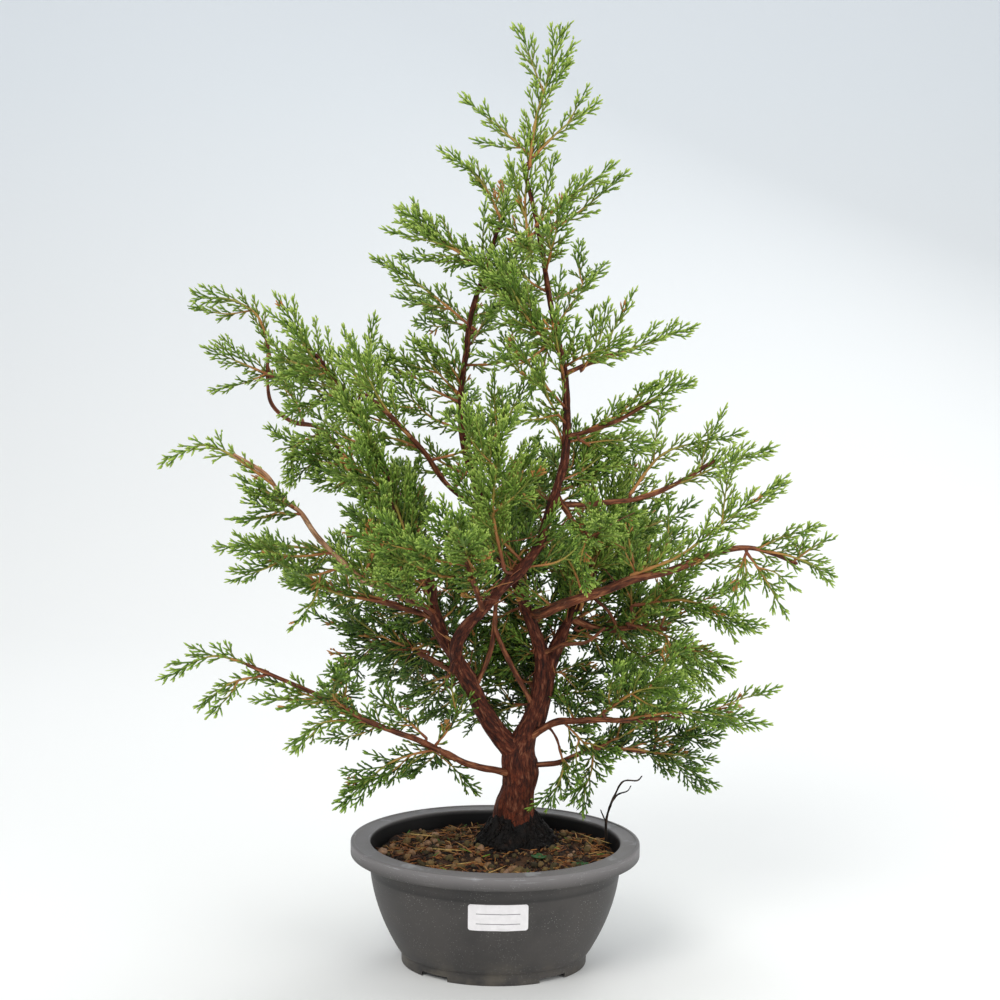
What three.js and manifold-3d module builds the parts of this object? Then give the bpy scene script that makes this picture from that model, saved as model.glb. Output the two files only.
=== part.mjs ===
// A young juniper bonsai growing in an oval plastic training pot.
// Millimetres, +Z up. The origin is the middle of the pot's foot, on the surface that it
// stands on. The long side of the pot lies along X, and -Y is the side with the label.

import * as THREE from 'three';
import { mergeVertices } from 'three/addons/utils/BufferGeometryUtils.js';
import Module from 'manifold-3d';

const wasm = await Module();
wasm.setup();

// ---- Driving dimensions ----

const gap = 0.3; // left free wherever two pieces meet

const potLength = 230; // over the rim
const potWidth = 182;
const potHeight = 100;
const openingLength = 200; // inside the rim
const bowlLength = 200; // outside the wall, just under the rim
const rimDrop = 11; // depth of the rim's skirt
const rimThickness = 2.5; // top plate of the rim, and its skirt
const rimEdge = 1.2; // bevel along the top of the skirt
const potWall = 2.5;
const footLength = 148;
const footWidth = 112;
const footHeight = 10;
const footRing = 6; // breadth of the ring that the pot stands on
const footStep = 2; // the bowl overhangs the foot by this much
const floorHeight = 5; // hollow under the floor
const notchWidth = 20; // cut through the foot ring, so that water runs out
const notchHeight = 4;
const notchPlace = 0.31; // share of the foot's length from the middle to a notch
const drainDiameter = 11;
const drainCount = 6; // round one in the middle

const soilBelowRim = 12;
const moundDiameter = 62; // black roots and compost round the base of the trunk
const moundTopDiameter = 37;
const moundHeight = 25;

const labelWidth = 46;
const labelHeight = 22;
const labelThickness = 0.4;
const labelCentreX = 3;
const labelCentreHeight = 64;
const labelCorner = 0.1; // share of its height cut from each corner

const treeHeight = 646; // from the soil's surface to the top of the leader
const treeSpread = 500;
const treeDepth = 340;
const trunkDiameter = 31; // at the top of the root mound
const foliageFullness = 1; // breadth of the foliage, as a share of the breadths listed
const foliageFlatness = 0.6; // thickness of a spray as a share of its breadth

const twigFromWall = 8; // a dead twig stands in the soil, this far from the pot's end wall
const twigDepth = 22;

const potSides = 44;
const woodSides = 6;
const trunkSides = 9;
const foliageSides = 6;
const fineness = 0.05; // corners that stand out by less are left out

// ---- The tree as drawn ----
// Every point is [x, y, z, diameter], with x and y from the pot's middle and z from the
// soil. The lists were drawn for the three sizes here, and are stretched to the real ones.

const drawn = { height: 646, spread: 500, depth: 340, trunk: 31 };

const wood = {
  trunk: [
    [16, 24, 5, 34], [16, 24, 27, 31], [18, 24, 52, 27], [17, 23, 76, 26], [27, 26, 101, 15],
    [34, 30, 127, 13], [35, 34, 153, 11], [29, 36, 175, 10], [18, 36, 203, 9],
    [3, 36, 232, 8], [-9, 34, 266, 7], [-20, 32, 296, 6.5], [-29, 30, 328, 6],
    [-32, 28, 364, 5], [-28, 26, 399, 4.5], [-24, 24, 429, 4], [-15, 22, 458, 3.4],
    [-6, 20, 488, 3],
  ],
  limb_left: [
    [14, 22, 78, 17], [-2, 18, 98, 15], [-20, 12, 132, 13.5], [-31, 8, 153, 12],
    [-44, 6, 175, 10], [-51, 4, 199, 9], [-54, 4, 221, 8], [-64, 2, 245, 7.5],
    [-76, 0, 261, 7], [-81, 0, 280, 6.5], [-88, 4, 303, 6], [-100, 10, 328, 5],
    [-114, 14, 354, 4.2], [-128, 12, 376, 3.6], [-144, 10, 395, 3],
  ],
  limb_cross: [
    [-32, 8, 150, 10.5], [-33, -4, 167, 10.5], [-27, -12, 184, 10], [-7, -20, 209, 9],
    [18, -22, 237, 8.5], [31, -18, 255, 8], [38, -12, 277, 7.5], [45, -8, 300, 7],
    [50, -4, 325, 6.5], [50, 0, 364, 6], [47, 2, 390, 5.4], [41, 4, 416, 4.8],
    [34, 6, 451, 4.2], [28, 6, 485, 3.6], [20, 6, 519, 3.2], [15, 6, 537, 3],
  ],
  limb_right: [
    [30, 26, 98, 12], [38, 32, 122, 12], [42, 38, 146, 11], [50, 44, 167, 10],
    [60, 48, 186, 8], [72, 50, 206, 7], [78, 46, 232, 5.5], [84, 38, 262, 4],
  ],
  branch_low_left: [
    [12, 18, 61, 6], [-18, -6, 74, 5.5], [-38, -24, 88, 5.2], [-59, -40, 103, 4.8],
    [-78, -54, 114, 4.4], [-102, -68, 128, 4], [-122, -80, 143, 3.6], [-145, -92, 157, 3.2],
    [-183, -106, 177, 2.6],
  ],
  branch_low_right: [
    [24, 22, 88, 6], [45, 14, 104, 5.6], [62, 6, 108, 5], [81, 0, 111, 4.4],
    [112, -8, 113, 3.6], [143, -14, 119, 3],
  ],
  branch_low_back: [
    [20, 24, 66, 5], [50, 20, 70, 4.4], [79, 34, 78, 3.8], [114, 50, 72, 3.2],
    [140, 60, 66, 2.6],
  ],
  branch_right_long: [
    [30, 30, 190, 8.5], [37, 10, 195, 8.5], [57, 0, 206, 8], [82, -10, 217, 7.5],
    [102, -18, 227, 6.8], [129, -24, 235, 6], [155, -30, 247, 5.2], [173, -32, 254, 4.6],
    [191, -34, 256, 4], [208, -34, 252, 3.4], [226, -36, 245, 2.8],
  ],
  branch_right_shade: [
    [58, 48, 182, 6], [84, 54, 172, 5], [112, 46, 176, 4], [136, 30, 178, 3],
  ],
  branch_right_upper: [
    [43, -8, 284, 4.5], [66, -4, 283, 4.2], [87, 0, 285, 4], [111, 4, 288, 3.6],
    [141, 8, 301, 3.2], [166, 10, 317, 2.8],
  ],
  branch_right_high: [
    [50, -2, 336, 3.8], [69, -14, 342, 3.4], [90, -26, 352, 3], [112, -36, 367, 2.6],
  ],
  branch_right_top: [
    [49, 0, 384, 3.6], [66, 10, 391, 3.2], [93, 22, 400, 2.6],
  ],
  branch_left_back: [
    [-52, 6, 212, 6], [-72, 20, 233, 5.4], [-89, 36, 262, 5], [-107, 50, 289, 4.6],
    [-128, 60, 314, 4.2], [-147, 66, 332, 3.8], [-169, 72, 336, 3.5], [-185, 74, 349, 3.2],
    [-189, 76, 369, 3], [-188, 76, 397, 2.6],
  ],
  branch_left_front: [
    [-12, 32, 272, 5], [-40, 10, 294, 4.4], [-59, -14, 324, 4], [-84, -34, 354, 3.4],
    [-101, -44, 370, 2.8],
  ],
  branch_left_pale: [
    [-50, 4, 194, 6], [-80, -14, 214, 5.4], [-105, -30, 227, 5], [-122, -42, 246, 4.6],
    [-137, -50, 263, 4.2], [-149, -56, 282, 3.8], [-161, -60, 292, 3.4],
    [-174, -66, 312, 3], [-196, -72, 327, 2.6],
  ],
  branch_left_mid: [
    [-50, 6, 190, 4.5], [-92, 24, 198, 3.8], [-119, 40, 200, 3.2], [-140, 50, 204, 2.6],
  ],
  branch_left_low: [
    [-26, 12, 140, 5], [-54, 26, 152, 4.2], [-80, 42, 160, 3.4], [-104, 56, 154, 2.6],
  ],
  branch_front: [
    [-12, -16, 200, 5], [-16, -46, 220, 4.4], [-22, -84, 246, 3.6], [-25, -116, 264, 2.8],
  ],
  branch_front_right: [
    [44, -6, 290, 4.5], [58, -34, 272, 4], [68, -62, 268, 3.4], [73, -88, 276, 2.6],
  ],
  branch_back: [
    [20, 34, 192, 6], [20, 60, 204, 5], [14, 90, 230, 4], [7, 124, 250, 3],
  ],
  branch_back_right: [
    [62, 48, 192, 5], [84, 78, 200, 4.2], [104, 104, 211, 3.4], [113, 124, 220, 2.8],
  ],
};

// Foliage by branch. Each spray has a breadth and a list of [x, y, z] from the soil.
const foliage = {
  foliage_apex: [
    { breadth: 40, points: [[19, 4, 540], [23, 0, 575], [34, -2, 613], [42, -4, 644]] },
    { breadth: 38, points: [[20, 5, 478], [16, 6, 515], [21, 3, 560]] },
    { breadth: 26, points: [[20, 4, 548], [-4, 12, 569], [-28, 20, 588]] },
    { breadth: 28, points: [[22, 2, 548], [43, -2, 569], [64, -4, 584]] },
    { breadth: 34, points: [[24, 4, 496], [51, -2, 519], [77, -4, 538]] },
    { breadth: 34, points: [[22, 4, 490], [16, -24, 480], [12, -52, 486]] },
  ],
  foliage_leader_left: [
    { breadth: 26, points: [[-18, 22, 450], [-7, 20, 484], [2, 18, 514]] },
    { breadth: 30, points: [[-2, 18, 500], [-19, 20, 531], [-44, 24, 549]] },
    { breadth: 36, points: [[-8, 22, 458], [-43, 24, 482], [-75, 26, 503]] },
    { breadth: 34, points: [[-6, 22, 488], [1, 48, 516], [6, 76, 530]] },
  ],
  foliage_leader_left_low: [
    { breadth: 24, points: [[-32, 28, 354], [-29, 26, 394], [-21, 24, 430]] },
    { breadth: 40, points: [[-20, 24, 414], [-58, 26, 444], [-94, 28, 466]] },
    { breadth: 36, points: [[-30, 28, 362], [-50, 20, 382], [-66, 14, 405]] },
    { breadth: 44, points: [[-24, 28, 404], [-18, 62, 413], [-10, 94, 418]] },
  ],
  foliage_between_leaders: [
    { breadth: 46, points: [[42, 4, 402], [21, -16, 424], [-4, -28, 471]] },
    { breadth: 26, points: [[40, -4, 410], [14, -8, 392], [-14, 2, 396]] },
    { breadth: 26, points: [[36, -2, 412], [53, 0, 438], [65, -4, 453]] },
  ],
  foliage_right_top: [
    { breadth: 32, points: [[60, 8, 388], [96, 22, 400], [119, 32, 408], [146, 42, 417]] },
    { breadth: 28, points: [[62, 8, 386], [74, 10, 408], [79, 12, 431]] },
  ],
  foliage_right_high: [
    { breadth: 42, points: [[60, -8, 338], [88, -26, 355], [115, -40, 370], [136, -48, 381]] },
    { breadth: 44, points: [[60, -8, 334], [80, 10, 324], [115, 20, 327]] },
  ],
  foliage_right_upper: [
    { breadth: 40, points: [[105, 4, 287], [148, 8, 303], [179, 11, 317], [206, 14, 325]] },
    { breadth: 32, points: [[101, 6, 290], [125, 18, 319], [156, 24, 330], [184, 28, 335]] },
  ],
  foliage_right_inner: [
    { breadth: 60, points: [[66, 44, 190], [76, 40, 228], [84, 36, 266], [88, 30, 292]] },
    { breadth: 38, points: [[72, 40, 228], [92, 44, 248], [121, 52, 253]] },
  ],
  foliage_long_upper: [
    { breadth: 42, points: [[101, -18, 230], [138, -26, 248], [167, -30, 272], [210, -34, 306]] },
  ],
  foliage_long_tip: [
    { breadth: 42, points: [[190, -34, 256], [224, -38, 250], [253, -42, 238]] },
    { breadth: 22, points: [[222, -38, 246], [238, -34, 257], [252, -30, 263]] },
    { breadth: 28, points: [[188, -34, 253], [203, -36, 232], [216, -38, 210]] },
    { breadth: 30, points: [[188, -34, 253], [182, -34, 234], [179, -34, 214]] },
  ],
  foliage_right_shade: [
    { breadth: 46, points: [[108, 36, 196], [152, 26, 202], [200, 26, 180]] },
    { breadth: 54, points: [[104, 42, 180], [141, 28, 170], [170, 22, 144]] },
    { breadth: 62, points: [[92, 40, 184], [108, 72, 152], [162, 94, 115]] },
  ],
  foliage_low_right: [
    { breadth: 42, points: [[92, -4, 111], [150, -16, 123], [203, -26, 117]] },
    { breadth: 50, points: [[84, -2, 118], [110, -30, 143], [141, -48, 150]] },
  ],
  foliage_low_back: [
    { breadth: 48, points: [[80, 34, 78], [126, 54, 70], [178, 70, 41]] },
    { breadth: 34, points: [[78, 28, 82], [75, 10, 63], [64, 6, 47]] },
    { breadth: 40, points: [[50, 18, 84], [53, 6, 68], [44, 0, 45]] },
  ],
  foliage_left_crown: [
    { breadth: 46, points: [[-103, 12, 334], [-121, 12, 364], [-144, 10, 395], [-170, 6, 434]] },
  ],
  foliage_left_back: [
    { breadth: 36, points: [[-187, 76, 388], [-196, 76, 419], [-217, 74, 433], [-245, 72, 435]] },
    { breadth: 36, points: [[-184, 75, 372], [-203, 72, 380], [-232, 70, 392]] },
  ],
  foliage_left_back_low: [
    { breadth: 40, points: [[-90, 37, 264], [-125, 58, 300], [-147, 66, 330]] },
    { breadth: 28, points: [[-144, 66, 328], [-166, 62, 316], [-168, 56, 294]] },
  ],
  foliage_left_front: [
    { breadth: 44, points: [[-69, -24, 336], [-91, -40, 366], [-110, -54, 407]] },
  ],
  foliage_left_pale_tip: [
    { breadth: 34, points: [[-168, -64, 304], [-199, -72, 327], [-220, -76, 334], [-246, -82, 323]] },
    { breadth: 36, points: [[-146, -54, 278], [-162, -58, 292], [-189, -62, 306]] },
  ],
  foliage_left_pale_low: [
    { breadth: 34, points: [[-126, -44, 250], [-170, -38, 254], [-209, -32, 251]] },
    { breadth: 42, points: [[-68, -8, 208], [-99, -28, 231], [-128, -44, 252]] },
  ],
  foliage_left_mid: [
    { breadth: 36, points: [[-80, 20, 198], [-123, 42, 204], [-168, 56, 208]] },
  ],
  foliage_left_low: [
    { breadth: 52, points: [[-56, 26, 158], [-92, 50, 158], [-126, 66, 144]] },
    { breadth: 56, points: [[-44, 20, 150], [-64, 62, 136], [-94, 106, 116]] },
  ],
  foliage_low_left_outer: [
    { breadth: 34, points: [[-168, -100, 170], [-206, -110, 184], [-237, -116, 171]] },
    { breadth: 28, points: [[-170, -100, 168], [-194, -104, 163], [-213, -108, 150]] },
    { breadth: 36, points: [[-110, -72, 136], [-150, -90, 154], [-178, -102, 168]] },
    { breadth: 40, points: [[-94, -64, 124], [-129, -78, 127], [-150, -86, 114]] },
  ],
  foliage_low_left_inner: [
    { breadth: 46, points: [[-44, -28, 94], [-80, -54, 90], [-114, -70, 64]] },
    { breadth: 40, points: [[-54, -36, 104], [-75, -20, 118], [-94, -2, 127]] },
    { breadth: 42, points: [[-48, -26, 94], [-50, 2, 78], [-70, 26, 58]] },
  ],
  foliage_front_high: [
    { breadth: 62, points: [[4, -30, 236], [-5, -56, 286], [-1, -74, 334], [3, -82, 359]] },
  ],
  foliage_front: [
    { breadth: 58, points: [[-14, -34, 212], [-21, -90, 250], [-26, -166, 283]] },
  ],
  foliage_front_right: [
    { breadth: 54, points: [[52, -26, 278], [68, -62, 268], [78, -122, 290]] },
  ],
  foliage_left_inner: [
    { breadth: 60, points: [[-56, -2, 210], [-70, -20, 256], [-87, -30, 304], [-98, -36, 334]] },
    { breadth: 52, points: [[-50, 0, 196], [-75, -50, 223], [-84, -116, 246]] },
  ],
  foliage_back: [
    { breadth: 62, points: [[20, 50, 200], [13, 100, 238], [2, 166, 266]] },
  ],
  foliage_back_high: [
    { breadth: 54, points: [[-14, 36, 306], [-9, 76, 332], [-1, 118, 356]] },
  ],
  foliage_back_left: [
    { breadth: 56, points: [[-56, 26, 226], [-76, 80, 245], [-98, 142, 262]] },
  ],
  foliage_back_right: [
    { breadth: 56, points: [[72, 62, 196], [101, 102, 212], [122, 152, 230]] },
  ],
  foliage_back_low: [
    { breadth: 56, points: [[28, 38, 128], [19, 92, 126], [14, 152, 130]] },
  ],
};

// ---- Sizes worked out from the ones above ----

const soilTop = potHeight - soilBelowRim;
const floorTop = floorHeight + potWall;
const bowlBottom = footLength / 2 + footStep;
const bowlTop = potHeight - rimDrop;
const bowlLevels = Array.from({ length: 6 }, (_, i) => (
  THREE.MathUtils.lerp(footHeight, bowlTop, i / 5)
));
const girth = trunkDiameter / drawn.trunk;
const moundCentre = treePoint([16, 24, 0]);

// A point of the drawn tree, stretched to the real tree and set on the soil.
function treePoint([x, y, z]) {
  return new THREE.Vector3(
    x * treeSpread / drawn.spread,
    y * treeDepth / drawn.depth,
    soilTop + z * treeHeight / drawn.height,
  );
}

// Half the pot's width where half its length is r: in proportion over the foot, and from
// there to the rim both grow evenly.
function halfWidthAt(r) {
  const foot = footLength / 2;
  if (r <= foot) return r * footWidth / footLength;
  const share = (r - foot) / (potLength / 2 - foot);
  return THREE.MathUtils.lerp(footWidth / 2, potWidth / 2, share);
}

// Half the length of the bowl's outside at a height: a parabola that leaves the foot
// steeply and stands upright under the rim.
function bowlRadiusAt(z) {
  const down = 1 - THREE.MathUtils.clamp((z - footHeight) / (bowlTop - footHeight), 0, 1);
  return THREE.MathUtils.lerp(bowlLength / 2, bowlBottom, down * down);
}

// ---- Solids ----

// A closed three.js geometry as a solid that can be cut and joined.
function solidFrom(geometry) {
  const bare = geometry.clone();
  bare.deleteAttribute('normal');
  bare.deleteAttribute('uv');
  const merged = mergeVertices(bare, 1e-4);
  const corners = merged.index.array;
  const triVerts = [];
  for (let i = 0; i < corners.length; i += 3) {
    const [a, b, c] = corners.slice(i, i + 3);
    if (a !== b && b !== c && c !== a) triVerts.push(a, b, c);
  }
  return new wasm.Manifold(new wasm.Mesh({
    numProp: 3,
    vertProperties: merged.getAttribute('position').array,
    triVerts: new Uint32Array(triVerts),
  }));
}

function geometryFrom(solid) {
  const { vertProperties, triVerts, numProp } = solid.getMesh();
  const geometry = new THREE.BufferGeometry();
  const positions = new THREE.BufferAttribute(new Float32Array(vertProperties), numProp);
  geometry.setAttribute('position', positions);
  geometry.setIndex(Array.from(triVerts));
  geometry.computeVertexNormals();
  return geometry;
}

function join(solids) {
  return solids.reduce((sum, solid) => sum.add(solid));
}

// The largest of the pieces that a cut leaves.
function largestPiece(solid) {
  const pieces = solid.decompose().sort((a, b) => b.volume() - a.volume());
  return pieces[0].simplify(fineness);
}

// An oval turned solid: the outline is [half length, height] pairs from the axis and back.
function ovalSolid(outline) {
  const points = outline.map(([r, z]) => new THREE.Vector2(r, z));
  const geometry = new THREE.LatheGeometry(points, potSides).rotateX(Math.PI / 2);
  const position = geometry.getAttribute('position');
  for (let i = 0; i < position.count; i += 1) {
    const x = position.getX(i);
    const y = position.getY(i);
    const r = Math.hypot(x, y);
    if (r > 0) position.setY(i, y * halfWidthAt(r) / r);
  }
  return solidFrom(geometry);
}

// A cylinder bent along a smooth curve. `points` are Vector3, `halfSizes(share)` gives half
// the breadth and half the thickness at a share of the way along, and `grow` adds a skin.
function bentSolid(points, halfSizes, sides, steps, grow = 0) {
  const curve = new THREE.CatmullRomCurve3(points, false, 'centripetal');
  const chord = points.at(-1).clone().sub(points[0]).normalize();
  const runsBack = Math.abs(chord.y) > 0.6;
  const flatWay = runsBack ? new THREE.Vector3(0, 0, 1) : new THREE.Vector3(0, 1, 0);
  const geometry = new THREE.CylinderGeometry(1, 1, 1, sides, steps);
  const position = geometry.getAttribute('position');
  for (let i = 0; i < position.count; i += 1) {
    const share = THREE.MathUtils.clamp(position.getY(i) + 0.5, 0, 1);
    const tangent = curve.getTangent(share);
    const across = tangent.clone().cross(flatWay).normalize();
    const through = across.clone().cross(tangent);
    const [halfBreadth, halfThickness] = halfSizes(share);
    const place = curve.getPoint(share)
      .addScaledVector(across, position.getX(i) * (halfBreadth + grow))
      .addScaledVector(through, position.getZ(i) * (halfThickness + grow));
    if (share === 0) place.addScaledVector(tangent, -grow);
    if (share === 1) place.addScaledVector(tangent, grow);
    position.setXYZ(i, place.x, place.y, place.z);
  }
  return solidFrom(geometry);
}

// A stem whose diameter is listed with each of its points.
function stemSolid(rows, sides, grow = 0) {
  const halfSizes = (share) => {
    const along = share * (rows.length - 1);
    const before = Math.min(Math.floor(along), rows.length - 2);
    const [from, to] = [rows[before][3], rows[before + 1][3]];
    const half = THREE.MathUtils.lerp(from, to, along - before) * girth / 2;
    return [half, half];
  };
  return bentSolid(rows.map(treePoint), halfSizes, sides, 2 * (rows.length - 1), grow);
}

// A spray of foliage: a flattened spindle, fullest a little before its middle.
function spraySolid({ breadth, points }, grow = 0) {
  const halfSizes = (share) => {
    const full = Math.sin(Math.PI * (0.14 + 0.8 * share)) ** 0.8;
    const half = breadth * foliageFullness * full / 2;
    return [half, half * foliageFlatness];
  };
  return bentSolid(points.map(treePoint), halfSizes, foliageSides, 4, grow);
}

// ---- Pieces ----

// The pot's floor and the ring that it stands on, with water notches and drain holes.
function footSolid() {
  const foot = footLength / 2;
  const base = ovalSolid([
    [0, floorHeight],
    [foot - footRing, floorHeight],
    [foot - footRing, 0],
    [foot, 0],
    [foot, footHeight - 2 * footStep],
    [bowlBottom, footHeight],
    [bowlBottom - potWall, footHeight],
    [bowlBottom - potWall, floorTop],
    [0, floorTop],
  ]);
  const cuts = [];
  for (const side of [-1, 1]) {
    const notch = new THREE.BoxGeometry(notchWidth, potWidth, 2 * notchHeight);
    notch.translate(side * notchPlace * footLength, 0, 0);
    cuts.push(solidFrom(notch));
  }
  for (let i = 0; i <= drainCount; i += 1) {
    const turn = 2 * Math.PI * i / drainCount;
    const out = i === drainCount ? 0 : 0.55 * (foot - footRing);
    const drain = new THREE.CylinderGeometry(drainDiameter / 2, drainDiameter / 2, 4 * potWall, 8);
    drain.rotateX(Math.PI / 2);
    drain.translate(out * Math.cos(turn), halfWidthAt(out) * Math.sin(turn), floorTop);
    cuts.push(solidFrom(drain));
  }
  return base.subtract(join(cuts));
}

// The bowl's wall, which stands on the foot and reaches up to the rim.
function bowlSolid() {
  const levels = [footHeight + gap, ...bowlLevels.slice(1), potHeight - rimThickness - gap];
  const outside = levels.map((z) => [bowlRadiusAt(z), z]);
  const inside = outside.map(([r, z]) => [r - potWall, z]).reverse();
  return ovalSolid([...outside, ...inside, outside[0]]);
}

// The broad turned-down rim, which sits on top of the bowl's wall.
function rimSolid() {
  const rim = potLength / 2;
  const underside = potHeight - rimThickness;
  return ovalSolid([
    [openingLength / 2 - potWall, underside],
    [rim - rimThickness, underside],
    [rim - rimThickness, bowlTop],
    [rim, bowlTop],
    [rim, potHeight - rimEdge],
    [rim - rimEdge, potHeight],
    [openingLength / 2, potHeight],
    [openingLength / 2 - potWall, underside],
  ]);
}

// The soil fills the bowl and stands clear of the wall and the floor by the gap.
function soilSolid() {
  const inset = potWall + gap + 0.2;
  const levels = [floorTop + gap, ...bowlLevels.filter((z) => z < soilTop), soilTop];
  const wall = levels.map((z) => [bowlRadiusAt(z) - inset, z]);
  return ovalSolid([[0, floorTop + gap], ...wall, [0, soilTop]]);
}

// A hump of roots and compost, rounded off towards the trunk.
function moundSolid() {
  const steps = 5;
  const slope = Array.from({ length: steps + 1 }, (_, i) => {
    const share = i / steps;
    const spread = 1 - share ** 0.6;
    const r = THREE.MathUtils.lerp(moundTopDiameter, moundDiameter, spread) / 2;
    return new THREE.Vector2(r, moundHeight * share);
  });
  const outline = [new THREE.Vector2(0, 0), ...slope, new THREE.Vector2(0, moundHeight)];
  const geometry = new THREE.LatheGeometry(outline, 20).rotateX(Math.PI / 2);
  geometry.translate(moundCentre.x, moundCentre.y, soilTop + gap);
  return solidFrom(geometry);
}

// A blank paper label, bent round the front of the bowl.
function labelSolid() {
  const geometry = new THREE.BoxGeometry(labelWidth, 1, labelHeight, 8, 1, 4);
  const position = geometry.getAttribute('position');
  for (let i = 0; i < position.count; i += 1) {
    const upShare = position.getZ(i) / labelHeight;
    const outer = position.getY(i) < 0;
    const atCorner = Math.abs(upShare) === 0.5 ? 1 - labelCorner : 1;
    const x = labelCentreX + position.getX(i) * atCorner;
    const z = labelCentreHeight + position.getZ(i);
    const halfLength = bowlRadiusAt(z);
    const wall = halfWidthAt(halfLength) * Math.sqrt(1 - (x / halfLength) ** 2);
    position.setXYZ(i, x, -(wall + gap + (outer ? labelThickness : 0)), z);
  }
  return solidFrom(geometry);
}

// A dry forked twig that stands in the soil near the pot's end.
function deadTwigRows() {
  const x = bowlRadiusAt(soilTop) - potWall - twigFromWall;
  const y = twigDepth;
  return [
    [[x, y, 0.5, 2.4], [x - 1, y, 19, 2.2], [x + 1, y, 30, 2], [x + 5, y - 1, 42, 1.8],
      [x + 12, y - 2, 55, 1.5], [x + 24, y - 3, 58, 1.2]],
    [[x + 4, y - 1, 40, 1.6], [x + 10, y + 2, 44, 1.4], [x + 16, y + 6, 45, 1.2]],
  ];
}

function twigSolid(grow = 0) {
  const stems = deadTwigRows().map((rows) => {
    const points = rows.map(([x, y, z]) => new THREE.Vector3(x, y, soilTop + z));
    const halfSizes = (share) => {
      const half = THREE.MathUtils.lerp(rows[0][3], rows.at(-1)[3], share) / 2;
      return [half, half];
    };
    return bentSolid(points, halfSizes, 6, 2 * (rows.length - 1), grow);
  });
  return join(stems);
}

// ---- The model ----

const looks = {
  pot: { color: 0x3e4043, roughness: 0.62, metalness: 0 },
  soil: { color: 0x3b2a1d, roughness: 0.95, metalness: 0 },
  roots: { color: 0x1d1612, roughness: 0.9, metalness: 0 },
  paper: { color: 0xf0ecea, roughness: 0.7, metalness: 0 },
  bark: { color: 0x6a3526, roughness: 0.85, metalness: 0 },
  paleBark: { color: 0x8d6244, roughness: 0.85, metalness: 0 },
  deadWood: { color: 0x2c211c, roughness: 0.9, metalness: 0 },
  foliage: { color: 0x4f8a2c, roughness: 0.6, metalness: 0 },
};

const bonsai = new THREE.Group();

function addPiece(name, solid, look) {
  const material = new THREE.MeshStandardMaterial(looks[look]);
  const mesh = new THREE.Mesh(geometryFrom(solid), material);
  mesh.name = name;
  bonsai.add(mesh);
}

addPiece('pot_foot', footSolid(), 'pot');
addPiece('pot_bowl', bowlSolid(), 'pot');
addPiece('pot_rim', rimSolid(), 'pot');
addPiece('soil', soilSolid(), 'soil');
addPiece('label', labelSolid(), 'paper');
addPiece('dead_twig', twigSolid(), 'deadWood');

// Everything that grows is cut clear of what was placed before it, so that neighbours meet
// across the gap. `placed` holds each earlier solid with a skin as thick as the gap.
const placed = [twigSolid(gap)];

function addGrown(name, solid, grown, look) {
  const box = solid.boundingBox();
  const near = placed.filter((other) => {
    const theirs = other.boundingBox();
    return [0, 1, 2].every((k) => theirs.min[k] < box.max[k] && theirs.max[k] > box.min[k]);
  });
  const clear = near.length ? solid.subtract(join(near)) : solid;
  addPiece(name, largestPiece(clear), look);
  placed.push(grown);
}

for (const [name, rows] of Object.entries(wood)) {
  const sides = name === 'trunk' ? trunkSides : woodSides;
  const look = name === 'branch_left_pale' ? 'paleBark' : 'bark';
  addGrown(name, stemSolid(rows, sides), stemSolid(rows, sides, gap), look);
}

addGrown('root_mound', moundSolid(), moundSolid(), 'roots');

for (const [name, sprays] of Object.entries(foliage)) {
  const solid = join(sprays.map((spray) => spraySolid(spray)));
  const grown = join(sprays.map((spray) => spraySolid(spray, gap)));
  addGrown(name, solid, grown, 'foliage');
}

export default bonsai;
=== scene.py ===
import math

import bpy
import numpy as np
from mathutils import Matrix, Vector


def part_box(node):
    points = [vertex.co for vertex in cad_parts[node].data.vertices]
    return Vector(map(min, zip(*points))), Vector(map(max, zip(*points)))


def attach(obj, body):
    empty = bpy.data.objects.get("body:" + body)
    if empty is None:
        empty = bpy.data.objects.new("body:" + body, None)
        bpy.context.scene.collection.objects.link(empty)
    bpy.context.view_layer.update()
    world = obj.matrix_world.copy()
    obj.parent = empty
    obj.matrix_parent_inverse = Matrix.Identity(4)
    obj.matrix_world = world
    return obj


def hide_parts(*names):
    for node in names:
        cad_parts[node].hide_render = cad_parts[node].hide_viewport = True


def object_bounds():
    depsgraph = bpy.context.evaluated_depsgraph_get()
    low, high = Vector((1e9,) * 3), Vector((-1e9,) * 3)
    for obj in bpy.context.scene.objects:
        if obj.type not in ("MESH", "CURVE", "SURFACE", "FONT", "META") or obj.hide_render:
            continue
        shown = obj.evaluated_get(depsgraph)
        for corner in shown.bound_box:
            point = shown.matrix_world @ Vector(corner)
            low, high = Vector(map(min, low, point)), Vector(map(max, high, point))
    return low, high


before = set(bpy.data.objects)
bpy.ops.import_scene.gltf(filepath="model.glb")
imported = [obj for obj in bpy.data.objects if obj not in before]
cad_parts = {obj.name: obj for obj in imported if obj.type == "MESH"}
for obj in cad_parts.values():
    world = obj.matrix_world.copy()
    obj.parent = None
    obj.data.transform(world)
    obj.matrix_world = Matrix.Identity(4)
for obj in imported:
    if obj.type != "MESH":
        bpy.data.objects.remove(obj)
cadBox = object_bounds()
boxLow, boxHigh = (np.array(corner) for corner in cadBox)
mm = 0.001
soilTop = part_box("soil")[1].z
print("frame loaded, soil top at", round(soilTop / mm, 1), "mm")


def unit(vectors):
    # v / |v|, row by row
    return vectors / np.maximum(np.linalg.norm(vectors, axis=-1, keepdims=True), 1e-12)


def tint(red, green, blue):
    # a screen colour from 0 to 255 as linear light: (c / 255) ^ 2.2
    return tuple((channel / 255) ** 2.2 for channel in (red, green, blue)) + (1.0,)


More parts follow.
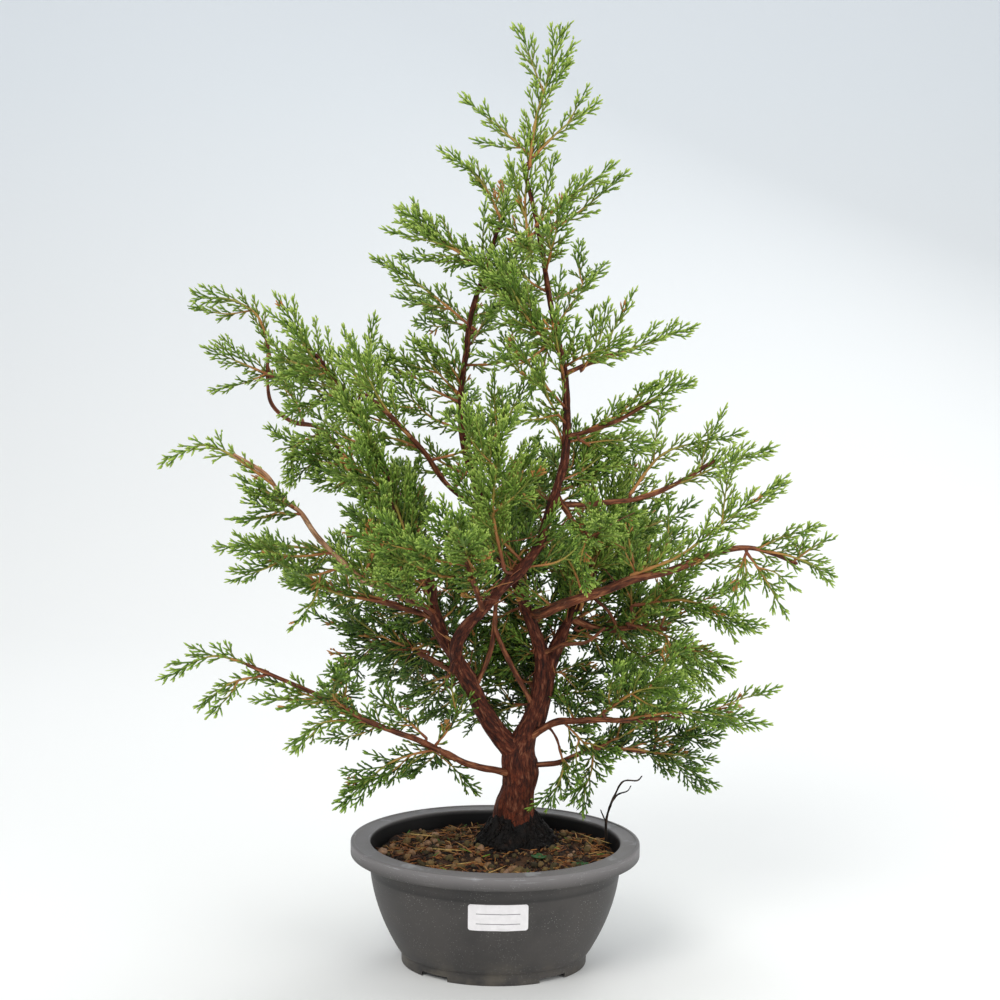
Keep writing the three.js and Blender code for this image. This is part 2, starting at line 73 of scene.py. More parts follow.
def ripples(points, size, seed, waves=14):
    # smooth noise: mean of sines, sin(2 pi p.d / size + phase), with directions d at random
    pick = np.random.default_rng(seed)
    ways = unit(pick.normal(size=(waves, points.shape[-1]))) / pick.uniform(0.6, 1.6, (waves, 1))
    phases = pick.uniform(0, 2 * np.pi, waves)
    turns = 2 * np.pi / size * (points @ ways.T) + phases
    return np.sin(turns).sum(-1) / math.sqrt(waves / 2)


def smoothPath(rows, step):
    # Catmull-Rom through the rows, resampled at even steps along its first three columns
    rows = np.asarray(rows, float)
    ends = np.vstack([2 * rows[:1] - rows[1:2], rows, 2 * rows[-1:] - rows[-2:-1]])
    t = np.linspace(0, 1, 24, endpoint=False)[None, :, None]
    a, b, c, d = (ends[i:len(ends) - 3 + i, None, :] for i in range(4))
    fine = 2 * b + (c - a) * t + (2 * a - 5 * b + 4 * c - d) * t**2 + (3 * b - a - 3 * c + d) * t**3
    fine = np.vstack([fine.reshape(-1, rows.shape[1]) / 2, rows[-1:]])
    gaps = np.linalg.norm(np.diff(fine[:, :3], axis=0), axis=1)
    along = np.concatenate([[0], np.cumsum(gaps)])
    even = np.linspace(0, along[-1], max(int(along[-1] / step), 3) + 1)
    return np.stack([np.interp(even, along, column) for column in fine.T], axis=1), even


def carriedFrames(points):
    # tangents by differences, and a side that is carried along without twisting
    tangents = unit(np.gradient(points, axis=0))
    sides = np.empty_like(points)
    side = np.cross(tangents[0], (0.05, 1.0, 0.1))
    for i, tangent in enumerate(tangents):
        side = unit(side - tangent * side.dot(tangent))
        sides[i] = side
    return tangents, sides, np.cross(tangents, sides)


def buildPiece(name, points, faceSets, materials, materialOf=None, uv=None, smooth=True):
    # faceSets are arrays of triangles and quads, uv has one row for each vertex
    mesh = bpy.data.meshes.new(name)
    corners = np.concatenate([faces.ravel() for faces in faceSets]).astype(np.int32)
    sizes = np.concatenate([np.full(len(faces), faces.shape[1]) for faces in faceSets])
    starts = np.concatenate([[0], np.cumsum(sizes)[:-1]]).astype(np.int32)
    mesh.vertices.add(len(points))
    mesh.vertices.foreach_set("co", np.asarray(points, np.float32).ravel())
    mesh.loops.add(len(corners))
    mesh.loops.foreach_set("vertex_index", corners)
    mesh.polygons.add(len(sizes))
    mesh.polygons.foreach_set("loop_start", starts)
    for material in materials:
        mesh.materials.append(material)
    if materialOf is not None:
        mesh.polygons.foreach_set("material_index", np.asarray(materialOf, np.int32))
    mesh.update(calc_edges=True)
    if uv is not None:
        layer = mesh.uv_layers.new(name="OFBake")
        layer.data.foreach_set("uv", np.asarray(uv, np.float32)[corners].ravel())
    if smooth:
        mesh.shade_smooth()
    piece = bpy.data.objects.new(name, mesh)
    bpy.context.scene.collection.objects.link(piece)
    return piece


def place(piece, slot, *nodes):
    # every piece rides on the one body, and stands for the nodes named here
    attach(piece, "root")
    if nodes:
        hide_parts(*nodes)
    return piece


def evenTurns(count):
    # angles at even steps round a circle
    return 2 * np.pi * np.arange(count) / count


def squareTo(way, vectors):
    # v - w (v.w): what is left of each vector across its unit way
    return vectors - way * (vectors * way).sum(1, keepdims=True)


def spokes(spin, sides, others, flat=1.0):
    # cos a side + flat sin a other, for every station and every angle round it
    cosine, sine = np.cos(spin)[None, :, None], np.sin(spin)[None, :, None]
    return cosine * sides[:, None] + flat * sine * others[:, None]


def ringFaces(rings, around):
    # quads between neighbouring rings of a closed tube, outwards
    i = np.arange(rings - 1)[:, None] * around
    j = np.arange(around)[None, :]
    near, far = i + j, i + (j + 1) % around
    return np.stack([near, far, far + around, near + around], axis=-1).reshape(-1, 4)


def closedTube(rings, firstPole, lastPole):
    # rings is stations x around x 3; the poles close its two ends
    count, around = rings.shape[:2]
    points = np.vstack([rings.reshape(-1, 3), firstPole, lastPole])
    j = np.arange(around)
    k = (j + 1) % around
    last = (count - 1) * around
    first = np.stack([np.full(around, count * around), k, j], axis=1)
    end = np.stack([np.full(around, count * around + 1), last + j, last + k], axis=1)
    return points, [ringFaces(count, around), np.vstack([first, end])]


def triangles(quads, caps):
    # every quad as two triangles, and the caps after them
    return np.vstack([quads[:, [0, 1, 2]], quads[:, [0, 2, 3]], caps])


def ballTemplate(levels):
    # an octahedron, each triangle cut in four `levels` times and pushed out to radius 1
    points = np.array([[1, 0, 0], [-1, 0, 0], [0, 1, 0], [0, -1, 0], [0, 0, 1], [0, 0, -1]], float)
    faces = np.array([[0, 2, 4], [2, 1, 4], [1, 3, 4], [3, 0, 4],
                      [2, 0, 5], [1, 2, 5], [3, 1, 5], [0, 3, 5]])
    for _ in range(levels):
        corners = points[faces]
        middles = unit((corners + np.roll(corners, -1, axis=1)) / 2)
        soup = np.stack([
            np.stack([corners[:, 0], middles[:, 0], middles[:, 2]], 1),
            np.stack([corners[:, 1], middles[:, 1], middles[:, 0]], 1),
            np.stack([corners[:, 2], middles[:, 2], middles[:, 1]], 1),
            middles,
        ], axis=1).reshape(-1, 3)
        points, back = np.unique(soup.round(6), axis=0, return_inverse=True)
        faces = back.reshape(-1, 3)
    return points, faces


def turnedAtRandom(count, pick):
    # one random turn for each item, as the Q of a random 3 x 3 matrix
    turns = np.linalg.qr(pick.normal(size=(count, 3, 3)))[0]
    return turns * np.sign(np.linalg.det(turns))[:, None, None]


# Stems as rows of x, y, height over the soil and diameter, in millimetres.
stemRoutes = {
    "trunk": [
        [16, 24, 5, 34], [16, 24, 27, 31], [18, 24, 52, 27], [17, 23, 76, 26], [27, 26, 101, 15],
        [34, 30, 127, 13], [35, 34, 153, 11], [29, 36, 175, 10], [18, 36, 203, 9],
        [3, 36, 232, 8], [-9, 34, 266, 7], [-20, 32, 296, 6.5], [-29, 30, 328, 6],
        [-32, 28, 364, 5], [-28, 26, 399, 4.5], [-24, 24, 429, 4], [-15, 22, 458, 3.4],
        [-6, 20, 488, 3],
    ],
    "limb_left": [
        [14, 22, 78, 17], [-2, 18, 98, 15], [-20, 12, 132, 13.5], [-31, 8, 153, 12],
        [-44, 6, 175, 10], [-51, 4, 199, 9], [-54, 4, 221, 8], [-64, 2, 245, 7.5],
        [-76, 0, 261, 7], [-81, 0, 280, 6.5], [-88, 4, 303, 6], [-100, 10, 328, 5],
        [-114, 14, 354, 4.2], [-128, 12, 376, 3.6], [-144, 10, 395, 3],
    ],
    "limb_cross": [
        [-32, 8, 150, 10.5], [-33, -4, 167, 10.5], [-27, -12, 184, 10], [-7, -20, 209, 9],
        [18, -22, 237, 8.5], [31, -18, 255, 8], [38, -12, 277, 7.5], [45, -8, 300, 7],
        [50, -4, 325, 6.5], [50, 0, 364, 6], [47, 2, 390, 5.4], [41, 4, 416, 4.8],
        [34, 6, 451, 4.2], [28, 6, 485, 3.6], [20, 6, 519, 3.2], [15, 6, 537, 3],
    ],
    "limb_right": [
        [30, 26, 98, 12], [38, 32, 122, 12], [42, 38, 146, 11], [50, 44, 167, 10],
        [60, 48, 186, 8], [72, 50, 206, 7], [78, 46, 232, 5.5], [84, 38, 262, 4],
    ],
    "branch_low_left": [
        [12, 18, 61, 6], [-18, -6, 74, 5.5], [-38, -24, 88, 5.2], [-59, -40, 103, 4.8],
        [-78, -54, 114, 4.4], [-102, -68, 128, 4], [-122, -80, 143, 3.6], [-145, -92, 157, 3.2],
        [-183, -106, 177, 2.6],
    ],
    "branch_low_right": [
        [24, 22, 88, 6], [45, 14, 104, 5.6], [62, 6, 108, 5], [81, 0, 111, 4.4],
        [112, -8, 113, 3.6], [143, -14, 119, 3],
    ],
    "branch_low_back": [
        [20, 24, 66, 5], [50, 20, 70, 4.4], [79, 34, 78, 3.8], [114, 50, 72, 3.2],
        [140, 60, 66, 2.6],
    ],
    "branch_right_long": [
        [30, 30, 190, 8.5], [37, 10, 195, 8.5], [57, 0, 206, 8], [82, -10, 217, 7.5],
        [102, -18, 227, 6.8], [129, -24, 235, 6], [155, -30, 247, 5.2], [173, -32, 254, 4.6],
        [191, -34, 256, 4], [208, -34, 252, 3.4], [226, -36, 245, 2.8],
    ],
    "branch_right_shade": [
        [58, 48, 182, 6], [84, 54, 172, 5], [112, 46, 176, 4], [136, 30, 178, 3],
    ],
    "branch_right_upper": [
        [43, -8, 284, 4.5], [66, -4, 283, 4.2], [87, 0, 285, 4], [111, 4, 288, 3.6],
        [141, 8, 301, 3.2], [166, 10, 317, 2.8],
    ],
    "branch_right_high": [
        [50, -2, 336, 3.8], [69, -14, 342, 3.4], [90, -26, 352, 3], [112, -36, 367, 2.6],
    ],
    "branch_right_top": [
        [49, 0, 384, 3.6], [66, 10, 391, 3.2], [93, 22, 400, 2.6],
    ],
    "branch_left_back": [
        [-52, 6, 212, 6], [-72, 20, 233, 5.4], [-89, 36, 262, 5], [-107, 50, 289, 4.6],
        [-128, 60, 314, 4.2], [-147, 66, 332, 3.8], [-169, 72, 336, 3.5], [-185, 74, 349, 3.2],
        [-189, 76, 369, 3], [-188, 76, 397, 2.6],
    ],
    "branch_left_front": [
        [-12, 32, 272, 5], [-40, 10, 294, 4.4], [-59, -14, 324, 4], [-84, -34, 354, 3.4],
        [-101, -44, 370, 2.8],
    ],
    "branch_left_pale": [
        [-50, 4, 194, 6], [-80, -14, 214, 5.4], [-105, -30, 227, 5], [-122, -42, 246, 4.6],
        [-137, -50, 263, 4.2], [-149, -56, 282, 3.8], [-161, -60, 292, 3.4],
        [-174, -66, 312, 3], [-196, -72, 327, 2.6],
    ],
    "branch_left_mid": [
        [-50, 6, 190, 4.5], [-92, 24, 198, 3.8], [-119, 40, 200, 3.2], [-140, 50, 204, 2.6],
    ],
    "branch_left_low": [
        [-26, 12, 140, 5], [-54, 26, 152, 4.2], [-80, 42, 160, 3.4], [-104, 56, 154, 2.6],
    ],
    "branch_front": [
        [-12, -16, 200, 5], [-16, -46, 220, 4.4], [-22, -84, 246, 3.6], [-25, -116, 264, 2.8],
    ],
    "branch_front_right": [
        [44, -6, 290, 4.5], [58, -34, 272, 4], [68, -62, 268, 3.4], [73, -88, 276, 2.6],
    ],
    "branch_back": [
        [20, 34, 192, 6], [20, 60, 204, 5], [14, 90, 230, 4], [7, 124, 250, 3],
    ],
    "branch_back_right": [
        [62, 48, 192, 5], [84, 78, 200, 4.2], [104, 104, 211, 3.4], [113, 124, 220, 2.8],
    ],
}

# Foliage by branch: its painted light (how lit or shaded its leaves are painted: low for inner and low
# branches, high for the outer crown), then its sprays as (breadth, points from the soil) in millimetres.
sprayRoutes = {
    "apex": (0.62, [
        (40, [[19, 4, 540], [23, 0, 575], [34, -2, 613], [42, -4, 644]]),
        (38, [[20, 5, 478], [16, 6, 515], [21, 3, 560]]),
        (26, [[20, 4, 548], [-4, 12, 569], [-28, 20, 588]]),
        (28, [[22, 2, 548], [43, -2, 569], [64, -4, 584]]),
        (34, [[24, 4, 496], [51, -2, 519], [77, -4, 538]]),
        (34, [[22, 4, 490], [16, -24, 480], [12, -52, 486]]),
    ]),
    "leader_left": (0.58, [
        (26, [[-18, 22, 450], [-7, 20, 484], [2, 18, 514]]),
        (30, [[-2, 18, 500], [-19, 20, 531], [-44, 24, 549]]),
        (36, [[-8, 22, 458], [-43, 24, 482], [-75, 26, 503]]),
        (34, [[-6, 22, 488], [1, 48, 516], [6, 76, 530]]),
    ]),
    "leader_left_low": (0.48, [
        (24, [[-32, 28, 354], [-29, 26, 394], [-21, 24, 430]]),
        (40, [[-20, 24, 414], [-58, 26, 444], [-94, 28, 466]]),
        (36, [[-30, 28, 362], [-50, 20, 382], [-66, 14, 405]]),
        (44, [[-24, 28, 404], [-18, 62, 413], [-10, 94, 418]]),
    ]),
    "between_leaders": (0.46, [
        (46, [[42, 4, 402], [21, -16, 424], [-4, -28, 471]]),
        (26, [[40, -4, 410], [14, -8, 392], [-14, 2, 396]]),
        (26, [[36, -2, 412], [53, 0, 438], [65, -4, 453]]),
    ]),
    "right_top": (0.6, [
        (32, [[60, 8, 388], [96, 22, 400], [119, 32, 408], [146, 42, 417]]),
        (28, [[62, 8, 386], [74, 10, 408], [79, 12, 431]]),
    ]),
    "right_high": (0.52, [
        (42, [[60, -8, 338], [88, -26, 355], [115, -40, 370], [136, -48, 381]]),
        (44, [[60, -8, 334], [80, 10, 324], [115, 20, 327]]),
    ]),
    "right_upper": (0.66, [
        (40, [[105, 4, 287], [148, 8, 303], [179, 11, 317], [206, 14, 325]]),
        (32, [[101, 6, 290], [125, 18, 319], [156, 24, 330], [184, 28, 335]]),
    ]),
    "right_inner": (0.6, [
        (60, [[66, 44, 190], [76, 40, 228], [84, 36, 266], [88, 30, 292]]),
        (38, [[72, 40, 228], [92, 44, 248], [121, 52, 253]]),
    ]),
    "long_upper": (0.62, [
        (42, [[101, -18, 230], [138, -26, 248], [167, -30, 272], [210, -34, 306]]),
    ]),
    "long_tip": (0.5, [
        (42, [[190, -34, 256], [224, -38, 250], [253, -42, 238]]),
        (22, [[222, -38, 246], [238, -34, 257], [252, -30, 263]]),
        (28, [[188, -34, 253], [203, -36, 232], [216, -38, 210]]),
        (30, [[188, -34, 253], [182, -34, 234], [179, -34, 214]]),
    ]),
    "right_shade": (0.48, [
        (46, [[108, 36, 196], [152, 26, 202], [200, 26, 180]]),
        (54, [[104, 42, 180], [141, 28, 170], [170, 22, 144]]),
        (62, [[92, 40, 184], [108, 72, 152], [162, 94, 115]]),
    ]),
    "low_right": (0.4, [
        (42, [[92, -4, 111], [150, -16, 123], [203, -26, 117]]),
        (50, [[84, -2, 118], [110, -30, 143], [141, -48, 150]]),
    ]),
    "low_back": (0.2, [
        (48, [[80, 34, 78], [126, 54, 70], [178, 70, 41]]),
        (34, [[78, 28, 82], [75, 10, 63], [64, 6, 47]]),
        (40, [[50, 18, 84], [53, 6, 68], [44, 0, 45]]),
    ]),
    "left_crown": (0.62, [
        (46, [[-103, 12, 334], [-121, 12, 364], [-144, 10, 395], [-170, 6, 434]]),
    ]),
    "left_back": (0.5, [
        (36, [[-187, 76, 388], [-196, 76, 419], [-217, 74, 433], [-245, 72, 435]]),
        (36, [[-184, 75, 372], [-203, 72, 380], [-232, 70, 392]]),
    ]),
    "left_back_low": (0.43, [
        (40, [[-90, 37, 264], [-125, 58, 300], [-147, 66, 330]]),
        (28, [[-144, 66, 328], [-166, 62, 316], [-168, 56, 294]]),
    ]),
    "left_front": (0.6, [
        (44, [[-69, -24, 336], [-91, -40, 366], [-110, -54, 407]]),
    ]),
    "left_pale_tip": (0.66, [
        (34, [[-168, -64, 304], [-199, -72, 327], [-220, -76, 334], [-246, -82, 323]]),
        (36, [[-146, -54, 278], [-162, -58, 292], [-189, -62, 306]]),
    ]),
    "left_pale_low": (0.6, [
        (34, [[-126, -44, 250], [-170, -38, 254], [-209, -32, 251]]),
        (42, [[-68, -8, 208], [-99, -28, 231], [-128, -44, 252]]),
    ]),
    "left_mid": (0.48, [
        (36, [[-80, 20, 198], [-123, 42, 204], [-168, 56, 208]]),
    ]),
    "left_low": (0.24, [
        (52, [[-56, 26, 158], [-92, 50, 158], [-126, 66, 144]]),
        (56, [[-44, 20, 150], [-64, 62, 136], [-94, 106, 116]]),
    ]),
    "low_left_outer": (0.46, [
        (34, [[-168, -100, 170], [-206, -110, 184], [-237, -116, 171]]),
        (28, [[-170, -100, 168], [-194, -104, 163], [-213, -108, 150]]),
        (36, [[-110, -72, 136], [-150, -90, 154], [-178, -102, 168]]),
        (40, [[-94, -64, 124], [-129, -78, 127], [-150, -86, 114]]),
    ]),
    "low_left_inner": (0.24, [
        (46, [[-44, -28, 94], [-80, -54, 90], [-114, -70, 64]]),
        (40, [[-54, -36, 104], [-75, -20, 118], [-94, -2, 127]]),
        (42, [[-48, -26, 94], [-50, 2, 78], [-70, 26, 58]]),
    ]),
    "front_high": (0.54, [
        (62, [[4, -30, 236], [-5, -56, 286], [-1, -74, 334], [3, -82, 359]]),
    ]),
    "front": (0.42, [
        (58, [[-14, -34, 212], [-21, -90, 250], [-26, -166, 283]]),
    ]),
    "front_right": (0.46, [
        (54, [[52, -26, 278], [68, -62, 268], [78, -122, 290]]),
    ]),
    "left_inner": (0.42, [
        (60, [[-56, -2, 210], [-70, -20, 256], [-87, -30, 304], [-98, -36, 334]]),
        (52, [[-50, 0, 196], [-75, -50, 223], [-84, -116, 246]]),
    ]),
    "back": (0.3, [
        (62, [[20, 50, 200], [13, 100, 238], [2, 166, 266]]),
    ]),
    "back_high": (0.42, [
        (54, [[-14, 36, 306], [-9, 76, 332], [-1, 118, 356]]),
    ]),
    "back_left": (0.32, [
        (56, [[-56, 26, 226], [-76, 80, 245], [-98, 142, 262]]),
    ]),
    "back_right": (0.32, [
        (56, [[72, 62, 196], [101, 102, 212], [122, 152, 230]]),
    ]),
    "back_low": (0.2, [
        (56, [[28, 38, 128], [19, 92, 126], [14, 152, 130]]),
    ]),
}


view = {
    "place": (0.0, -1.5, 0.6), "pitch": 8.6, "roll": 0.8, "lens": 70.45,
    "floorReach": 1.1, "sweep": 1.6, "wall": 3.2,
}


def makeCamera():
    # right = cos r X + sin r up0 and up = -sin r X + cos r up0, where up0 stands on the level ray
    pitch, roll = math.radians(view["pitch"]), math.radians(view["roll"])
    ahead = np.array([0, math.cos(pitch), -math.sin(pitch)])
    upright = np.cross((1, 0, 0), ahead)
    right = math.cos(roll) * np.array([1, 0, 0]) + math.sin(roll) * upright
    up = -math.sin(roll) * np.array([1, 0, 0]) + math.cos(roll) * upright
    turn = Matrix(np.stack([right, up, -ahead], axis=1).tolist()).to_4x4()
    data = bpy.data.cameras.new("portraitCamera")
    data.lens = view["lens"]
    data.sensor_width = 36
    camera = bpy.data.objects.new("portraitCamera", data)
    camera.matrix_world = Matrix.Translation(view["place"]) @ turn
    bpy.context.scene.collection.objects.link(camera)
    bpy.context.scene.camera = camera


def newMaterial(name, **fixed):
    # a Principled material with its plain numbers set on the shader's own sockets
    material = bpy.data.materials.new(name)
    material.use_nodes = True
    tree = material.node_tree
    shader = tree.nodes["Principled BSDF"]
    for socket, value in fixed.items():
        shader.inputs[socket.replace("_", " ")].default_value = value
    return material, tree, shader


def node(tree, kind, inputs=None, **settings):
    # inputs are plain values or sockets of other nodes
    made = tree.nodes.new("ShaderNode" + kind)
    for key, value in settings.items():
        setattr(made, key, value)
    for key, value in (inputs or {}).items():
        if isinstance(value, bpy.types.NodeSocket):
            tree.links.new(value, made.inputs[key])
        else:
            made.inputs[key].default_value = value
    return made


def ramp(tree, factor, stops):
    # stops are rows of position, red, green and blue; the result is the colour socket
    made = node(tree, "ValToRGB", {"Fac": factor})
    band = made.color_ramp
    while len(band.elements) < len(stops):
        band.elements.new(0.5)
    for element, (position, *screen) in zip(band.elements, stops):
        element.position = position
        element.color = tint(*screen)
    return made.outputs["Color"]


def blend(tree, factor, first, second, way="MIX"):
    # colours mixed by a factor
    made = node(tree, "Mix", data_type="RGBA", blend_type=way)
    for index, value in ((0, factor), (6, first), (7, second)):
        if isinstance(value, bpy.types.NodeSocket):
            tree.links.new(value, made.inputs[index])
        else:
            made.inputs[index].default_value = value
    return made.outputs[2]


def objectPoint(tree):
    # where a point lies on the object, in metres
    return node(tree, "TexCoord").outputs["Object"]


def paint(tree, shader, colour):
    # a varying colour into the shader
    tree.links.new(colour, shader.inputs["Base Color"])


def reckon(tree, way, first, second=0.0):
    # arithmetic on two values: way is MULTIPLY, SUBTRACT, MAXIMUM or ABSOLUTE
    return node(tree, "Math", {0: first, 1: second}, operation=way).outputs[0]


def spread(tree, value, low, high, toLow=0.0, toHigh=1.0):
    # a value mapped from low..high to toLow..toHigh, and held there
    sockets = {"Value": value, "From Min": low, "From Max": high, "To Min": toLow, "To Max": toHigh}
    return node(tree, "MapRange", sockets).outputs["Result"]


def noise(tree, where, scale, detail=3.0, rough=0.55):
    # soft noise from 0 to 1, scale in bumps per metre
    sockets = {"Vector": where, "Scale": scale, "Detail": detail, "Roughness": rough}
    return node(tree, "TexNoise", sockets).outputs["Fac"]


def bumped(tree, shader, height, distance, strength=1.0, below=None):
    # a bump into the shader's normal, over another bump if one is given
    sockets = {"Height": height, "Distance": distance, "Strength": strength}
    if below is not None:
        sockets["Normal"] = below
    made = node(tree, "Bump", sockets)
    tree.links.new(made.outputs["Normal"], shader.inputs["Normal"])
    return made.outputs["Normal"]


def makeStage():
    # a floor that sweeps up into a backdrop: a straight, a quarter circle and a straight
    turn = np.linspace(0, math.pi / 2, 24)
    bend = view["sweep"]
    depth = np.concatenate([[-6.0], view["floorReach"] + bend * np.sin(turn), [view["floorReach"] + bend]])
    height = np.concatenate([[0.0], bend - bend * np.cos(turn), [bend + view["wall"]]])
    across = np.linspace(-7, 7, 15)
    points = np.stack(np.broadcast_arrays(across[None, :], depth[:, None], height[:, None]), -1)
    rows, columns = points.shape[:2]
    i = np.arange(rows - 1)[:, None] * columns
    j = np.arange(columns - 1)[None, :]
    quads = np.stack([i + j, i + j + 1, i + j + columns + 1, i + j + columns], -1).reshape(-1, 4)
    material, tree, shader = newMaterial("palePaper", Roughness=0.85)
    where = objectPoint(tree)
    up = node(tree, "SeparateXYZ", {"Vector": where}).outputs["Z"]
    pale = ramp(tree, spread(tree, up, 0.0, 2.4), [
        (0.0, 240, 241, 239), (0.35, 232, 238, 242), (1.0, 222, 229, 240),
    ])
    paint(tree, shader, pale)
    bumped(tree, shader, noise(tree, where, 90.0), 0.0004, 0.3)
    buildPiece("paperSweep", points.reshape(-1, 3), [quads], [material])


def makeLights():
    # soft boxes: (name, place, watts, side, colour); each looks at the middle of the tree
    boxes = (
        ("keyBox", (-1.1, -1.7, 2.1), 34, 1.3, (1.0, 0.98, 0.95)),
        ("fillBox", (1.9, -1.4, 0.9), 18, 1.6, (1.0, 0.99, 0.97)),
        ("topBox", (0.2, 0.5, 2.3), 16, 1.5, (1.0, 1.0, 1.0)),
        ("backBox", (0.9, 1.6, 1.5), 10, 1.2, (1.0, 0.99, 0.97)),
    )
    aim = np.array([0, 0, 0.36])
    for name, spot, watts, side, colour in boxes:
        data = bpy.data.lights.new(name, "AREA")
        data.energy = watts
        data.size = side
        data.color = colour
        lamp = bpy.data.objects.new(name, data)
        back = unit(np.array(spot) - aim)
        right = unit(np.cross((0, 0, 1), back))
        turn = Matrix(np.stack([right, np.cross(back, right), back], axis=1).tolist()).to_4x4()
        lamp.matrix_world = Matrix.Translation(spot) @ turn
        bpy.context.scene.collection.objects.link(lamp)
    world = bpy.data.worlds.new("paleRoom")
    world.use_nodes = True
    sky = world.node_tree.nodes["Background"]
    sky.inputs["Color"].default_value = (0.94, 0.96, 1.0, 1.0)
    sky.inputs["Strength"].default_value = 0.55
    bpy.context.scene.world = world
    bpy.context.scene.view_settings.view_transform = "Standard"


makeCamera()
makeStage()
makeLights()
print("camera, floor and lights are set")


potLook = {
    "around": 200, "length": 230, "width": 182, "height": 100, "bowl": 200, "foot": 148,
    "footWidth": 112, "rimDrop": 11, "wall": 2.5, "notch": (20, 4), "notchPlace": 0.31,
    "drain": 11, "drains": 6, "highlightStrength": 0.28,
}


def halfWidth(r):
    # the pot's half width where its half length is r (mm): in proportion over the foot, then even
    foot, rim = potLook["foot"] / 2, potLook["length"] / 2
    share = np.clip((r - foot) / (rim - foot), 0, 1)
    outer = (potLook["footWidth"] + share * (potLook["width"] - potLook["footWidth"])) / 2
    return np.where(r <= foot, r * potLook["footWidth"] / potLook["foot"], outer)


def bowlRadius(z):
    # half the bowl's length at a height (mm): a parabola that stands upright under the rim
    low, high = 10, potLook["height"] - potLook["rimDrop"]
    down = 1 - np.clip((z - low) / (high - low), 0, 1)
    return potLook["bowl"] / 2 + (potLook["foot"] / 2 + 2 - potLook["bowl"] / 2) * down**2


def ovalRings(profile, around):
    # x = r cos a, y = halfWidth(r) sin a, z = z for each (r, z) of the profile
    turn = np.linspace(0, 2 * np.pi, around, endpoint=False)
    r, z = np.asarray(profile, float).T
    x = r[:, None] * np.cos(turn)
    y = halfWidth(r)[:, None] * np.sin(turn)
    return np.stack([x, y, np.broadcast_to(z[:, None], x.shape)], axis=-1) * mm


def potProfile():
    # (r, z) from the middle of the underside, over the foot, wall, lip and rim, and down to the floor inside
    top, foot, rim = potLook["height"], potLook["foot"] / 2, potLook["length"] / 2
    bowl, wall, under = potLook["bowl"] / 2, potLook["wall"], potLook["height"] - potLook["rimDrop"]
    rise = np.linspace(10.5, under, 26)[1:-1]
    fall = np.linspace(under, 9.5, 22)
    outside = [(bowlRadius(z), z) for z in rise]
    inside = [(bowlRadius(z) - wall, z) for z in fall]
    return [
        (20, 5), (foot - 8, 5), (foot - 6.5, 4.6), (foot - 6, 4), (foot - 6, 0.5), (foot - 5.5, 0),
        (foot - 0.7, 0), (foot - 0.2, 0.2), (foot, 0.8), (foot + 0.1, 5), (foot + 0.2, 9.2),
        (foot + 0.5, 9.8), (foot + 1.5, 10), (foot + 2, 10.3), *outside, (bowl, under), (bowl, top - 3.4),
        (bowl + 0.3, top - 2.7), (bowl + 1, top - 2.5), (rim - 3.2, top - 2.5), (rim - 2.6, top - 2.8),
        (rim - 2.4, top - 3.4), (rim - 2.2, under + 0.5), (rim - 1.8, under + 0.1), (rim - 1.2, under),
        (rim - 0.4, under + 0.1), (rim - 0.1, under + 0.5), (rim, under + 1.2), (rim, top - 1.6),
        (rim - 0.15, top - 0.8), (rim - 0.5, top - 0.3), (rim - 1.1, top - 0.05), (rim - 2.4, top),
        (rim - 2.7, top - 0.1), (rim - 2.9, top - 0.5), (rim - 3.3, top - 0.7), (rim - 3.8, top - 0.75),
        (rim - 8, top - 0.8), (bowl + 1.6, top - 0.6), (bowl + 0.6, top - 0.35), (bowl, top - 0.5),
        (bowl - 0.5, top - 1), (bowl - 0.8, top - 2), (bowl - 1.2, top - 5), *inside,
        (foot - 1.2, 8.2), (foot - 3, 7.6), (foot - 6, 7.5), (20, 7.5),
    ]


def cutWith(piece, cutters):
    # boolean cuts, baked into the mesh
    for cutter in cutters:
        step = piece.modifiers.new("cut", "BOOLEAN")
        step.object = cutter
        step.solver = "EXACT"
    graph = bpy.context.evaluated_depsgraph_get()
    cut = bpy.data.meshes.new_from_object(piece.evaluated_get(graph))
    piece.modifiers.clear()
    piece.data = cut
    for cutter in cutters:
        bpy.data.objects.remove(cutter)


def potCutters():
    # a box across each side of the foot, and drain holes in a ring round a middle one
    cutters = []
    across, up = potLook["notch"]
    box = np.array([[x, y, z] for x in (-1, 1) for y in (-1, 1) for z in (-1, 1)], float)
    sides = np.array([[0, 1, 3, 2], [4, 6, 7, 5], [0, 4, 5, 1], [2, 3, 7, 6], [0, 2, 6, 4], [1, 5, 7, 3]])
    for side in (-1, 1):
        middle = np.array([side * potLook["notchPlace"] * potLook["foot"], 0, 0])
        half = np.array([across / 2, potLook["width"], up])
        cutters.append(buildPiece("notchCutter", (middle + box * half) * mm, [sides], []))
    turn = np.linspace(0, 2 * np.pi, 24, endpoint=False)
    circle = np.stack([np.cos(turn), np.sin(turn)], axis=1) * potLook["drain"] / 2
    for i in range(potLook["drains"] + 1):
        out = 0 if i == potLook["drains"] else 0.55 * (potLook["foot"] / 2 - 6)
        angle = 2 * math.pi * i / potLook["drains"]
        middle = np.array([out * math.cos(angle), float(halfWidth(out)) * math.sin(angle)])
        rings = [np.column_stack([middle + circle, np.full(24, height)]) for height in (2.5, 10)]
        poles = ([*middle, 2.5], [*middle, 10])
        points, faces = closedTube(np.array(rings) * mm, np.array(poles[0]) * mm, np.array(poles[1]) * mm)
        cutters.append(buildPiece("drainCutter", points, faces, []))
    return cutters


